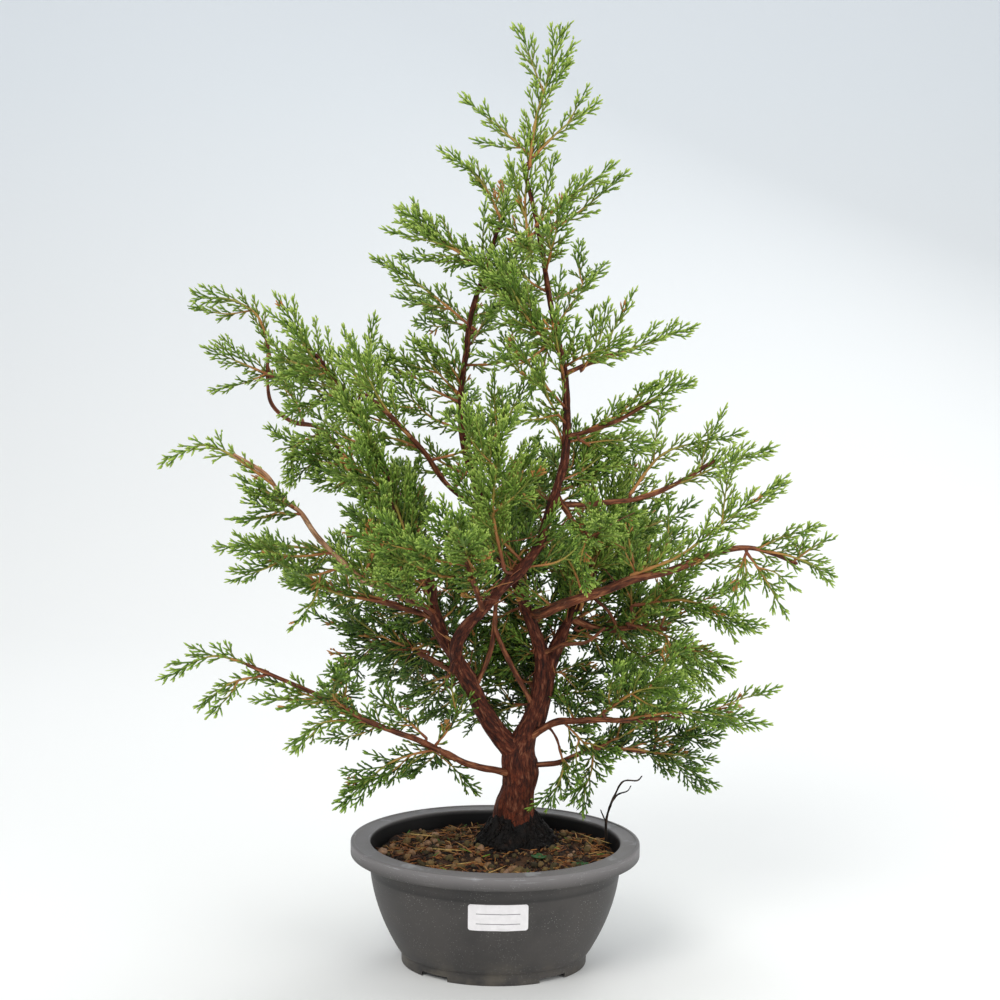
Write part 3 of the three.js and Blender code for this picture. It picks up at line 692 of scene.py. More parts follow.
def potMaterial():
    # charcoal plastic: fine dust, pale streaks on the rim that are a painted highlight, damp stains low
    # down, and painted shade that darkens the inner wall
    material, tree, shader = newMaterial("charcoalPlastic", Specular_IOR_Level=0.42)
    where = objectPoint(tree)
    parts = node(tree, "SeparateXYZ", {"Vector": where})
    height = parts.outputs["Z"]
    clouds = noise(tree, where, 26.0, 4.0)
    base = ramp(tree, clouds, [(0.3, 56, 54, 53), (0.62, 72, 69, 67)])
    onRim = spread(tree, height, 0.0885, 0.0975)
    rimmed = blend(tree, onRim, base, tint(116, 113, 113))
    dust = node(tree, "TexVoronoi", {"Vector": where, "Scale": 620.0}, feature="F1").outputs["Distance"]
    patchy = spread(tree, noise(tree, where, 45.0, 3.0), 0.4, 0.6)
    specks = reckon(tree, "MULTIPLY", spread(tree, dust, 0.17, 0.07), patchy)
    dusted = blend(tree, specks, rimmed, tint(176, 174, 170))
    long = node(tree, "Mapping", {"Vector": where, "Scale": (0.16, 0.16, 3.0)}).outputs["Vector"]
    # painted highlight: pale blue-white streaks along the rim band stand in for the rim's glossy highlight
    streaks = spread(tree, noise(tree, long, 320.0, 2.0), 0.62, 0.72)
    rimHighlight = reckon(tree, "MULTIPLY", reckon(tree, "MULTIPLY", streaks, onRim), potLook["highlightStrength"])
    highlighted = blend(tree, rimHighlight, dusted, tint(196, 200, 204))
    low = spread(tree, height, 0.03, 0.004)
    damp = reckon(tree, "MULTIPLY", low, spread(tree, noise(tree, where, 60.0, 4.0), 0.45, 0.7))
    stainsAndPaintedLight = blend(tree, damp, highlighted, tint(88, 83, 75))
    # painted shade: the inner wall above the soil is painted near-black for the shade inside the bowl
    innerLong = potLook["bowl"] / 2 - 1.6
    perMetre = (1000 / innerLong, 1000 / float(halfWidth(innerLong)), 0)
    across = node(tree, "VectorMath", {0: where, 1: perMetre}, operation="MULTIPLY").outputs[0]
    out = node(tree, "VectorMath", {0: across}, operation="LENGTH").outputs["Value"]
    inside = reckon(tree, "MULTIPLY", spread(tree, out, 1.014, 1.006), spread(tree, height, 0.074, 0.076))
    stainsAndPaintedLight = blend(tree, inside, stainsAndPaintedLight, tint(20, 20, 21))
    paint(tree, shader, stainsAndPaintedLight)
    rough = spread(tree, clouds, 0.3, 0.7, 0.44, 0.6)
    tree.links.new(rough, shader.inputs["Roughness"])
    grain = bumped(tree, shader, noise(tree, where, 900.0, 2.0), 0.00012, 0.5)
    bumped(tree, shader, noise(tree, long, 150.0, 2.0), 0.0003, 0.25, grain)
    return material


def makePot():
    # the profile carried round the oval, then cut
    rings = ovalRings(potProfile(), potLook["around"])
    points, faces = closedTube(rings, rings[0].mean(0), rings[-1].mean(0))
    pot = buildPiece("moulded_pot", points, faces, [potMaterial()])
    cutWith(pot, potCutters())
    pot.data.shade_smooth()
    pot.data.set_sharp_from_angle(angle=math.radians(50))
    place(pot, "pot_plastic", "pot_foot", "pot_bowl", "pot_rim")


makePot()
print("pot made")


groundLook = {
    "below": 0.6, "lumps": 1.8, "moundAt": (16, 24), "moundWide": 27.5, "moundHigh": 30,
    "moundDeep": 0.92, "pebbles": 460, "crumbs": 2300, "litter": 900, "bare": -0.16, "slivers": 130,
    "straws": 18, "blades": 26, "rootStrands": 120, "moundCrumbs": 520, "weeds": ((35, -18), (67, -24)),
}


def soilHeight(x, y):
    # the soil's surface (m) over x, y (m): lumps of two sizes, and a rise round the trunk
    spot = np.stack([x, y], axis=-1)
    lumps = ripples(spot, 0.034, 5) * 0.8 + ripples(spot, 0.011, 6) * 0.35
    away = np.hypot(x - groundLook["moundAt"][0] * mm, y - groundLook["moundAt"][1] * mm) / mm
    rise = 5.5 * np.exp(-(away / 34)**2)
    return soilTop + mm * (rise - groundLook["below"] + groundLook["lumps"] * lumps * 0.7)


def soilMaterial():
    # near-black compost with brown clouds and pale grit
    material, tree, shader = newMaterial("dampCompost", Roughness=0.93)
    where = objectPoint(tree)
    shades = ramp(tree, noise(tree, where, 95.0, 6.0, 0.65), [
        (0.3, 22, 15, 11), (0.5, 48, 32, 21), (0.62, 78, 54, 34), (0.75, 38, 26, 17),
    ])
    grit = node(tree, "TexVoronoi", {"Vector": where, "Scale": 420.0})
    speck = spread(tree, grit.outputs["Distance"], 0.2, 0.05)
    paint(tree, shader, blend(tree, speck, shades, tint(140, 112, 78)))
    rough = bumped(tree, shader, grit.outputs["Distance"], 0.0012, 0.8)
    bumped(tree, shader, noise(tree, where, 240.0, 5.0), 0.002, 0.7, rough)
    return material


def makeSoil():
    # rings from the middle outwards over the top, then down the wall and under to the middle again
    turn = np.linspace(0, 2 * np.pi, 180, endpoint=False)
    rim = float(bowlRadius(soilTop / mm)) - 2.9
    over = np.linspace(0.02, 1, 56) * rim
    x = over[:, None] * np.cos(turn) * mm
    y = halfWidth(over)[:, None] * np.sin(turn) * mm
    top = np.stack([x, y, soilHeight(x, y)], axis=-1)
    down = np.linspace(soilTop / mm - 5, 8, 9)
    wall = ovalRings([(float(bowlRadius(z)) - 3, z) for z in down] + [(20, 8)], 180)
    rings = np.vstack([top, wall])[::-1]
    first = np.array([0, 0, 8]) * mm
    last = top[0].mean(0)
    points, faces = closedTube(rings, first, last)
    place(buildPiece("soil_bed", points, faces, [soilMaterial()]), "soil", "soil")


def shadeEach(piece, shades):
    # each vertex's own place on its material's ramp
    field = piece.data.attributes.new("ownShade", "FLOAT", "POINT")
    field.data.foreach_set("value", shades.astype(np.float32))


def repeated(faces, corners, count):
    # the faces of one body for count bodies of that many corners each
    return (faces[None] + (np.arange(count) * corners)[:, None, None]).reshape(-1, faces.shape[1])


def spotsOnSoil(count, pick, innermost=22.0, spare=3.0):
    # even spots over the oval, outside the root mound, as (count, 2) in metres
    rim = float(bowlRadius(soilTop / mm)) - spare - 3
    turn = pick.uniform(0, 2 * np.pi, count * 3)
    out = np.sqrt(pick.uniform(0, 1, count * 3)) * rim
    spots = np.stack([out * np.cos(turn), halfWidth(out) * np.sin(turn)], axis=1)
    away = np.hypot(*(spots - groundLook["moundAt"]).T)
    return spots[away > innermost][:count] * mm


def mottledMaterial(name, stops, roughness, cloud, shades, pits, depth, strength):
    # one colour for each loose thing, by its own shade along the ramp, with mottling over it;
    # cloud and pits are the scale and detail of the mottling and of the bumps
    material, tree, shader = newMaterial(name, Roughness=roughness)
    where = objectPoint(tree)
    own = node(tree, "Attribute", attribute_name="ownShade").outputs["Fac"]
    mottle = spread(tree, noise(tree, where, *cloud), 0.3, 0.7, *shades)
    hue = node(tree, "HueSaturation", {"Value": mottle, "Color": ramp(tree, own, stops)}).outputs["Color"]
    paint(tree, shader, hue)
    bumped(tree, shader, noise(tree, where, *pits), depth, strength)
    return material


def stonyMaterial(name, stops, scale, roughness):
    # coarse pits that follow the mottling
    pits = (scale * 1.8, 4.0)
    return mottledMaterial(name, stops, roughness, (scale, 4.0), (0.62, 1.25), pits, 0.0008, 0.8)


def litterMaterial(name, stops):
    # faint fibres
    return mottledMaterial(name, stops, 0.75, (500.0, 3.0), (0.75, 1.15), (1500.0, 2.0), 0.0002, 0.5)


def scatteredStones(name, kind, sizes, levels, squash, seed, material, innermost=20.0):
    # turned and squashed copies of a lumpy ball, each pressed a little into the soil
    pick = np.random.default_rng(seed)
    spots = spotsOnSoil(groundLook[kind], pick, innermost)
    count = len(spots)
    ball, faces = ballTemplate(levels)
    size = pick.uniform(0, 1, count)**2.2 * (sizes[1] - sizes[0]) + sizes[0]
    stretch = pick.uniform(0.65, 1.0, (count, 1, 3)) * np.array([1, 1, squash])
    lumps = 1 + 0.16 * pick.normal(size=(count, len(ball), 1)).clip(-1.6, 1.6)
    bodies = (ball * lumps * stretch * size[:, None, None] * mm / 2) @ turnedAtRandom(count, pick)
    middle = np.column_stack([spots, soilHeight(*spots.T) + size * 0.22 * mm])
    points = (bodies + middle[:, None, :]).reshape(-1, 3)
    piece = buildPiece(name, points, [repeated(faces, len(ball), count)], [material])
    shadeEach(piece, np.repeat(pick.uniform(0, 1, count), len(ball)))
    place(piece, "soil")


def spindles(start, way, bend, length, halfBreadth, flat=1.0, stations=(0.14, 0.5, 0.84),
             profile=(0.8, 1.0, 0.7), sides=4, seed=3):
    # closed needles: axis(t) = start + length (t way + t^2 bend), half breadth by the profile
    pick = np.random.default_rng(seed)
    count = len(start)
    t = np.array([0, *stations, 1])[None, :, None]
    axis = start[:, None] + length[:, None, None] * (t * way[:, None] + t**2 * bend[:, None])
    side = unit(np.cross(way, pick.normal(size=(count, 3))))
    other = np.cross(way, side)
    turn = evenTurns(sides)
    half = halfBreadth[:, None, None, None] * np.array(profile)[None, :, None, None]
    rings = axis[:, 1:-1, None] + half * spokes(turn, side, other, flat)[:, None]
    points = np.concatenate([axis[:, :1], rings.reshape(count, -1, 3), axis[:, -1:]], axis=1)
    near = np.arange(sides)
    far = (near + 1) % sides
    first = 1 + near
    tail = 1 + (len(stations) - 1) * sides
    end = 1 + len(stations) * sides
    parts = [np.stack([np.zeros(sides, int), 1 + far, first], 1)]
    for row in range(len(stations) - 1):
        a, b = 1 + row * sides + near, 1 + row * sides + far
        parts += [np.stack([a, b, b + sides], 1), np.stack([a, b + sides, a + sides], 1)]
    parts.append(np.stack([np.full(sides, end), tail + near, tail + far], 1))
    faces = repeated(np.vstack(parts), end + 1, count)
    along = np.concatenate([[0], np.repeat(stations, sides), [1]])
    aside = np.concatenate([[0], np.tile(np.sin(turn), len(stations)), [0]])
    return points.reshape(-1, 3), faces, along, aside


def scatteredNeedles(name, kind, lengths, breadth, shades, seed, material, lift=0.5, innermost=15.0,
                     rise=0.16, bow=0.22, flat=0.6):
    # spindles that lie on the soil, a little lifted and bowed, and leave bare patches
    pick = np.random.default_rng(seed)
    spots = spotsOnSoil(groundLook[kind], pick, innermost, 6.0)
    cloud = ripples(np.column_stack([spots / mm, spots[:, 0] * 0]), 17.0, 19)
    spots = spots[cloud > groundLook["bare"]]
    count = len(spots)
    turn = pick.uniform(0, 2 * np.pi, count)
    way = unit(np.stack([np.cos(turn), np.sin(turn), pick.normal(0, rise, count)], axis=1))
    length = pick.uniform(*lengths, count) * mm
    bend = np.cross(way, (0, 0, 1)) * pick.normal(0, bow, (count, 1)) + pick.normal(0, 0.04, (count, 3))
    middle = np.column_stack([spots, soilHeight(*spots.T) + lift * mm + pick.uniform(0, 1.2, count) * mm])
    start = middle - way * length[:, None] / 2
    half = np.full(count, breadth / 2 * mm)
    points, faces, _, _ = spindles(start, way, bend, length, half, flat, seed=seed)
    rim = float(bowlRadius(soilTop / mm)) - 3.2
    out = np.hypot(points[:, 0] / rim, points[:, 1] / float(halfWidth(rim))) / mm
    points[:, :2] /= np.maximum(out, 1)[:, None]
    piece = buildPiece(name, points, [faces], [material])
    shadeEach(piece, np.repeat(pick.uniform(*shades, count), len(points) // count))
    place(piece, "soil")


def rootMaterial():
    # wet black roots, a little brown where they dry
    material, tree, shader = newMaterial("wetRoots", Roughness=0.7, Specular_IOR_Level=0.3)
    where = objectPoint(tree)
    shades = ramp(tree, noise(tree, where, 130.0, 5.0), [
        (0.35, 9, 6, 5), (0.6, 22, 15, 11), (0.78, 54, 36, 26),
    ])
    paint(tree, shader, shades)
    bumped(tree, shader, noise(tree, where, 420.0, 5.0), 0.0016, 0.8)
    return material


def moundHeight(away, turn):
    # height (mm) over the soil at a distance (mm) from the trunk's middle: a lobed bell
    wide = groundLook["moundWide"] * (0.96 + 0.07 * np.cos(3 * turn + 1) + 0.05 * np.cos(7 * turn))
    return groundLook["moundHigh"] * np.exp(-(away / wide)**3)


def makeRoots():
    # a lumpy dome, root strands that wander down it, and crumbs between them
    turn = np.linspace(0, 2 * np.pi, 120, endpoint=False)
    away = np.linspace(32, 1, 40)
    x0, y0 = groundLook["moundAt"]
    x = x0 + away[:, None] * np.cos(turn)
    y = y0 + away[:, None] * np.sin(turn) * groundLook["moundDeep"]
    spot = np.stack([x, y], axis=-1)
    bump = ripples(spot, 9.0, 31) * 2.2 + ripples(spot, 4.0, 32) * 1.3
    lift = moundHeight(away[:, None], turn) + bump * np.exp(-(away[:, None] / 24)**4)
    z = soilHeight(x * mm, y * mm) / mm - 2.5 + lift
    top = np.stack([x, y, z], axis=-1)
    skirt = top[:1] - np.array([0, 0, 3.0])
    rings = np.vstack([skirt, top]) * mm
    points, faces = closedTube(rings, rings[0].mean(0), rings[-1].mean(0))
    roots = rootMaterial()
    place(buildPiece("root_mound_dome", points, faces, [roots]), "root_mound", "root_mound")
    pick = np.random.default_rng(44)
    sets, grown = [], 0
    for _ in range(groundLook["rootStrands"]):
        angle, reach, thick = pick.uniform(0, 2 * math.pi), pick.uniform(14, 34), pick.uniform(0.5, 1.5)
        steps = np.linspace(0, 1, 7)
        away = 9 + steps * reach
        course = angle + np.cumsum(pick.normal(0, 0.14, 7))
        x, y = x0 + away * np.cos(course), y0 + away * np.sin(course) * groundLook["moundDeep"]
        z = soilHeight(x * mm, y * mm) / mm - 2.2 + moundHeight(away, course) + pick.uniform(-0.5, 1.8, 7)
        path, _ = smoothPath(np.column_stack([x, y, z, thick * (1 - 0.6 * steps)]) * mm, 2.2 * mm)
        _, sides, others = carriedFrames(path[:, :3])
        spin = evenTurns(5)
        rings = path[:, None, :3] + spokes(spin, sides, others) * path[:, None, 3:] / 2
        tube, faces = closedTube(rings, path[0, :3], path[-1, :3])
        sets.append((tube, faces, grown))
        grown += len(tube)
    points = np.vstack([tube for tube, _, _ in sets])
    faces = [np.vstack([faces[k] + first for _, faces, first in sets]) for k in (0, 1)]
    place(buildPiece("root_strands", points, faces, [roots]), "root_mound")
    count = groundLook["moundCrumbs"]
    turn, away = pick.uniform(0, 2 * math.pi, count), pick.uniform(12, 35, count)
    x, y = x0 + away * np.cos(turn), y0 + away * np.sin(turn) * groundLook["moundDeep"]
    z = soilHeight(x * mm, y * mm) / mm - 2.4 + moundHeight(away, turn)
    size = pick.uniform(1.2, 4.6, count)
    ball, sides = ballTemplate(1)
    stretch = pick.uniform(0.6, 1.1, (count, 1, 3)) * size[:, None, None] * mm / 2
    bodies = (ball * stretch) @ turnedAtRandom(count, pick) + np.stack([x, y, z], 1)[:, None] * mm
    faces = repeated(sides, len(ball), count)
    place(buildPiece("mound_crumbs", bodies.reshape(-1, 3), [faces], [roots]), "root_mound")


def makeWeeds(material):
    # two seedlings: round leaves, flat and a little tilted, in a ring round each seedling's middle
    pick = np.random.default_rng(61)
    ball, sides = ballTemplate(2)
    bodies = []
    for x, y in groundLook["weeds"]:
        for leaf in range(4):
            turn = leaf * 1.57 + pick.uniform(-0.3, 0.3)
            out = np.array([math.cos(turn), math.sin(turn), 0.25])
            low = np.array([x * mm, y * mm, float(soilHeight(x * mm, y * mm)) + 2.6 * mm])
            flat = np.stack([out, np.cross((0, 0, 1), out), np.array([-0.25 * out[0], -0.25 * out[1], 1])])
            size = np.array([3.4, 2.9, 0.45]) * pick.uniform(0.8, 1.1) * mm
            bodies.append((ball * size) @ flat + low + out * 3.2 * mm)
    points = np.vstack(bodies)
    piece = buildPiece("weed_leaves", points, [repeated(sides, len(ball), len(bodies))], [material])
    shadeEach(piece, np.full(len(points), 0.12))
    place(piece, "soil")


def makeGround():
    # soil, then what lies on it, then the root mound
    makeSoil()
    pumice = stonyMaterial("pumiceGrit", [
        (0.0, 58, 50, 32), (0.35, 92, 80, 48), (0.7, 122, 98, 62), (0.9, 146, 112, 82),
        (1.0, 164, 130, 104),
    ], 320.0, 0.9)
    crumb = stonyMaterial("barkCrumb", [
        (0.0, 20, 14, 10), (0.5, 46, 29, 19), (0.85, 88, 56, 33), (1.0, 128, 86, 50),
    ], 420.0, 0.92)
    litter = litterMaterial("dryLitter", [
        (0.0, 64, 36, 20), (0.35, 128, 76, 38), (0.7, 178, 120, 64), (1.0, 216, 184, 112),
    ])
    green = litterMaterial("greenBlade", [
        (0.0, 34, 74, 40), (0.6, 70, 122, 44), (1.0, 120, 160, 60),
    ])
    scatteredStones("pumice_grit", "pebbles", (2.4, 8.5), 2, 0.8, 11, pumice)
    scatteredStones("bark_crumbs", "crumbs", (1.2, 4.5), 1, 0.6, 12, crumb, 14.0)
    scatteredNeedles("fallen_needles", "litter", (8, 21), 1.05, (0.15, 0.85), 13, litter,
                     lift=1.0, innermost=22.0)
    scatteredNeedles("bark_slivers", "slivers", (5, 13), 2.4, (0.0, 0.5), 15, litter,
                     lift=1.2, rise=0.2, bow=0.1, flat=0.3)
    scatteredNeedles("green_blades", "blades", (6, 15), 1.0, (0.4, 1.0), 16, green,
                     lift=2.6, innermost=20.0, rise=0.7, bow=0.2)
    makeWeeds(green)
    scatteredNeedles("straws", "straws", (26, 58), 1.1, (0.85, 1.0), 14, litter,
                     lift=2.4, innermost=22.0, rise=0.05, bow=0.12)
    makeRoots()


makeGround()
print("soil, grit, litter and roots made")


labelLook = {
    "width": 46, "height": 22, "middle": (3, 63), "corner": 2.2, "thick": 0.35, "off": 0.25, "margin": 6,
    "lines": (3.2, -5.2),
}


def paperMaterial():
    # blank thermal paper with two ruled lines
    material, tree, shader = newMaterial("labelPaper", Roughness=0.42, Specular_IOR_Level=0.5)
    where = objectPoint(tree)
    parts = node(tree, "SeparateXYZ", {"Vector": where})
    x0, z0 = labelLook["middle"]
    aside = reckon(tree, "ABSOLUTE", reckon(tree, "SUBTRACT", parts.outputs["X"], x0 * mm))
    up = reckon(tree, "SUBTRACT", parts.outputs["Z"], z0 * mm)
    inset = reckon(tree, "SUBTRACT", (labelLook["width"] / 2 - labelLook["margin"]) * mm, aside)
    upper, lower = (spread(tree, reckon(tree, "ABSOLUTE", reckon(tree, "SUBTRACT", up, height * mm)),
                           0.00034, 0.00022) for height in labelLook["lines"])
    within = spread(tree, inset, 0.0, 0.0001)
    marks = reckon(tree, "MULTIPLY", reckon(tree, "MAXIMUM", upper, lower), within)
    paper = ramp(tree, noise(tree, where, 220.0), [(0.3, 232, 229, 230), (0.7, 243, 240, 241)])
    paint(tree, shader, blend(tree, marks, paper, tint(96, 94, 98)))
    bumped(tree, shader, noise(tree, where, 260.0, 4.0), 0.0002, 0.35)
    return material


def makeLabel():
    # a rounded rectangle bent round the wall: rows narrow over the corners by a quarter circle
    across, up = labelLook["width"] / 2, labelLook["height"] / 2
    x0, z0 = labelLook["middle"]
    corner = np.sin(np.linspace(0, math.pi / 2, 7)) * labelLook["corner"]
    heights = np.concatenate([-up + labelLook["corner"] - corner[::-1], np.linspace(-up, up, 9)[1:-1],
                              up - labelLook["corner"] + corner])
    heights = np.unique(heights.round(4))
    over = np.clip(np.abs(heights) - (up - labelLook["corner"]), 0, labelLook["corner"])
    half = across - labelLook["corner"] + np.sqrt(np.maximum(labelLook["corner"]**2 - over**2, 0.001))
    x = x0 + np.linspace(-1, 1, 40)[None, :] * half[:, None]
    z = np.broadcast_to((z0 + heights)[:, None], x.shape)
    long = bowlRadius(z)
    wall = halfWidth(long) * np.sqrt(1 - (x / long)**2)
    lift = labelLook["off"] + 0.12 * ripples(np.stack([x, z], -1), 18.0, 71)**2
    front = np.stack([x, -(wall + lift + labelLook["thick"]), z], -1)
    back = np.stack([x, -(wall + labelLook["off"] * 0.4), z], -1)
    rings = np.concatenate([front, back[:, ::-1]], axis=1) * mm
    rows, around = rings.shape[:2]
    shell = ringFaces(rows, around)
    j = np.arange(around // 2 - 1)
    lids = [np.stack([first + j + 1, first + j, first + around - 1 - j, first + around - 2 - j], 1)
            for first in (0, (rows - 1) * around)]
    lids[1] = lids[1][:, ::-1]
    label = buildPiece("blank_label", rings.reshape(-1, 3), [shell, np.vstack(lids)], [paperMaterial()])
    label.data.set_sharp_from_angle(angle=math.radians(40))
    place(label, "label_paper", "label")


barkLook = {
    "old": {"around": 52, "step": 1.5, "ridge": 0.045, "knots": 0.18, "twist": 5.0, "reach": 0.3},
    "young": {"around": 16, "step": 1.4, "ridge": 0.05, "knots": 0.2, "twist": 3.0, "reach": 0.16},
    "knotEvery": 26, "flare": 0.1, "flareLong": 16,
}


def grainGroup():
    # strips of bark: noise stretched along the stem, put out as coarse and fine values
    group = bpy.data.node_groups.new("barkStrips", "ShaderNodeTree")
    for name in ("Coarse", "Fine", "Flakes"):
        group.interface.new_socket(name, in_out="OUTPUT", socket_type="NodeSocketFloat")
    way = node(group, "Attribute", attribute_name="grain").outputs["Vector"]
    warp = noise(group, way, 300.0, 3.0)
    turned = node(group, "CombineXYZ", {"X": warp, "Y": warp, "Z": warp}).outputs["Vector"]
    shift = node(group, "VectorMath", {0: turned, "Scale": 0.0012}, operation="SCALE").outputs[0]
    moved = node(group, "VectorMath", {0: way, 1: shift}, operation="ADD").outputs[0]
    end = group.nodes.new("NodeGroupOutput")
    coarse = node(group, "TexNoise", {"Vector": moved, "Scale": 420.0, "Detail": 5.0, "Roughness": 0.6})
    fine = node(group, "TexNoise", {"Vector": moved, "Scale": 1500.0, "Detail": 4.0, "Roughness": 0.6})
    flakes = node(group, "TexVoronoi", {"Vector": moved, "Scale": 260.0}, feature="DISTANCE_TO_EDGE")
    group.links.new(coarse.outputs["Fac"], end.inputs["Coarse"])
    group.links.new(fine.outputs["Fac"], end.inputs["Fine"])
    group.links.new(flakes.outputs["Distance"], end.inputs["Flakes"])
    return group


def barkMaterial(name, strips, stops, patch, patchAt, patchShare, rough, depth, young=None):
    # strips coloured along a ramp; patch is a second colour that shows by height and by cloud,
    # and young the first colour where the stem leaves its parent
    material, tree, shader = newMaterial(name, Roughness=rough, Specular_IOR_Level=0.32)
    grain = tree.nodes.new("ShaderNodeGroup")
    grain.node_tree = strips
    where = objectPoint(tree)
    colour = ramp(tree, spread(tree, grain.outputs["Coarse"], 0.3, 0.7), stops)
    if young:
        along = node(tree, "Attribute", attribute_name="grain").outputs["Vector"]
        reach = node(tree, "SeparateXYZ", {"Vector": along}).outputs["Z"]
        colour = blend(tree, spread(tree, reach, 0.004, 0.014), young, colour)
    height = node(tree, "SeparateXYZ", {"Vector": where}).outputs["Z"]
    low, high = patchAt
    share = spread(tree, height, low, high, patchShare, 0.12)
    cloud = spread(tree, noise(tree, where, 75.0, 3.0), 0.42, 0.62)
    fine = spread(tree, grain.outputs["Fine"], 0.4, 0.62)
    amount = reckon(tree, "MULTIPLY", reckon(tree, "MULTIPLY", cloud, share), fine)
    patched = blend(tree, amount, colour, patch)
    crack = spread(tree, grain.outputs["Flakes"], 0.0, 0.05, 0.45, 1.0)
    shade = node(tree, "HueSaturation", {"Value": crack, "Color": patched}).outputs["Color"]
    paint(tree, shader, shade)
    lines = bumped(tree, shader, grain.outputs["Coarse"], depth, 0.9)
    plates = bumped(tree, shader, spread(tree, grain.outputs["Flakes"], 0.0, 0.1), depth * 0.6, 0.6, lines)
    bumped(tree, shader, grain.outputs["Fine"], depth * 0.3, 0.7, plates)
    return material


def soilRows(rows):
    # rows of (x, y, height over the soil, diameter) in millimetres, as metres in the pot
    rows = np.array(rows, float) * mm
    rows[:, 2] += soilTop
    return rows


def woodyStem(name, slot, rows, look, material, seed, nodes=(), flare=0.0):
    # radius x (1 + strips along the grain + knots + a flare at the foot), round a smooth path
    pick = np.random.default_rng(seed)
    path, along = smoothPath(rows, look["step"] * mm)
    tangents, sides, others = carriedFrames(path[:, :3])
    spin = evenTurns(look["around"])
    radius = path[:, 3:] / 2
    middle = radius.mean()
    twisted = spin[None, :] + look["twist"] * along[:, None]
    grain = np.stack([np.cos(twisted) * radius, np.sin(twisted) * radius,
                      np.broadcast_to(along[:, None] * look["reach"], twisted.shape)], axis=-1)
    strips = 1 - 1.4 * np.abs(ripples(grain, middle * 2.6, seed)) + 0.4 * ripples(grain, middle, seed + 1)
    swell = 1 + look["ridge"] * strips + 0.07 * ripples(grain * [1, 1, 2.5], middle * 5, seed + 2)
    for _ in range(int(along[-1] / (barkLook["knotEvery"] * mm)) + 1):
        at, turn = pick.uniform(0.04, 0.96) * along[-1], pick.uniform(0, 2 * math.pi)
        wide = middle * pick.uniform(0.5, 1.1)
        aside = np.sin((spin - turn) / 2)[None, :] * 2 * middle / wide
        near = ((along[:, None] - at) / wide)**2 + aside**2
        swell += look["knots"] * pick.uniform(0.3, 1) * np.exp(-near)
    collar = 0.22 * np.exp(-along[:, None] / (1.6 * radius[0]))
    lobes = 1 + 0.15 * np.cos(4 * spin + 0.8)[None, :]
    swell += flare * lobes * np.exp(-along[:, None] / (barkLook["flareLong"] * mm)) if flare else collar
    ring = spokes(spin, sides, others)
    rings = path[:, None, :3] + ring * (radius * swell)[:, :, None]
    points, faces = closedTube(rings, path[0, :3], path[-1, :3] + tangents[-1] * radius[-1])
    piece = buildPiece(name, points, faces, [material])
    field = piece.data.attributes.new("grain", "FLOAT_VECTOR", "POINT")
    ends = np.array([[0, 0, 0], [0, 0, along[-1] * look["reach"]]])
    field.data.foreach_set("vector", np.vstack([grain.reshape(-1, 3), ends]).astype(np.float32).ravel())
    return place(piece, slot, *nodes)


def makeDeadTwig(strips):
    # three dry stems: one from the soil, its fork and a short spur
    rows = [[90, 22, -4, 2.6], [89.5, 22, 8, 2.4], [89, 22, 19, 2.2], [91, 22, 30, 2.0], [95, 21, 42, 1.8],
            [102, 20, 55, 1.5], [113, 19.4, 56, 1.2], [117, 19, 60, 0.9]]
    fork = [[93.6, 21.3, 38, 1.7], [98, 23, 43, 1.4], [106, 27, 45, 1.1], [109, 28, 49, 0.8]]
    spur = [[89, 22, 21, 1.5], [86, 21, 27, 1.1], [84.5, 20.5, 31, 0.8]]
    dead = barkMaterial("deadWood", strips, [
        (0.2, 22, 17, 15), (0.6, 48, 38, 32), (0.9, 88, 72, 60)], tint(60, 64, 50),
        (0.08, 0.2), 0.3, 0.9, 0.0003)
    look = {"around": 12, "step": 0.8, "ridge": 0.1, "knots": 0.5, "twist": 3.0, "reach": 0.3}
    woodyStem("dead_twig_stem", "dead_wood", soilRows(rows), look, dead, 501, ["dead_twig"])
    woodyStem("dead_twig_fork", "dead_wood", soilRows(fork), look, dead, 502)
    woodyStem("dead_twig_spur", "dead_wood", soilRows(spur), look, dead, 503)


leafLook = {
    "shootEvery": 4.2, "shootAngle": (34, 58), "shootHalf": (0.86, 0.7), "flatness": 0.62, "roll": 46,
    "fingerEvery": 2.7, "fingerLong": (6.5, 12.5), "fingerHalf": 0.95, "fingerAngle": (28, 52),
    "forked": 8.0, "forkEvery": 2.5, "forkLong": (3.6, 5.6), "forkAngle": (30, 48), "dry": 0.012,
    "dryInside": 0.035, "spare": 4, "overhang": 4.5, "slim": 0.78, "sideSprays": 1.0, "innerSideSprays": 3,
    "airySideSprays": 0.5, "sideLong": (16, 46), "sideBroad": 0.74, "innerLong": (38, 78),
    "innerBroad": (30, 46), "behindLight": 0.2,
}
# Branches whose sprays stand close together, low down or deep in the crown.
bushy = {
    "right_inner", "right_shade", "low_right", "left_low", "left_mid", "front_high",
    "front_right", "left_inner", "back", "back_left", "back_right", "back_low",
}
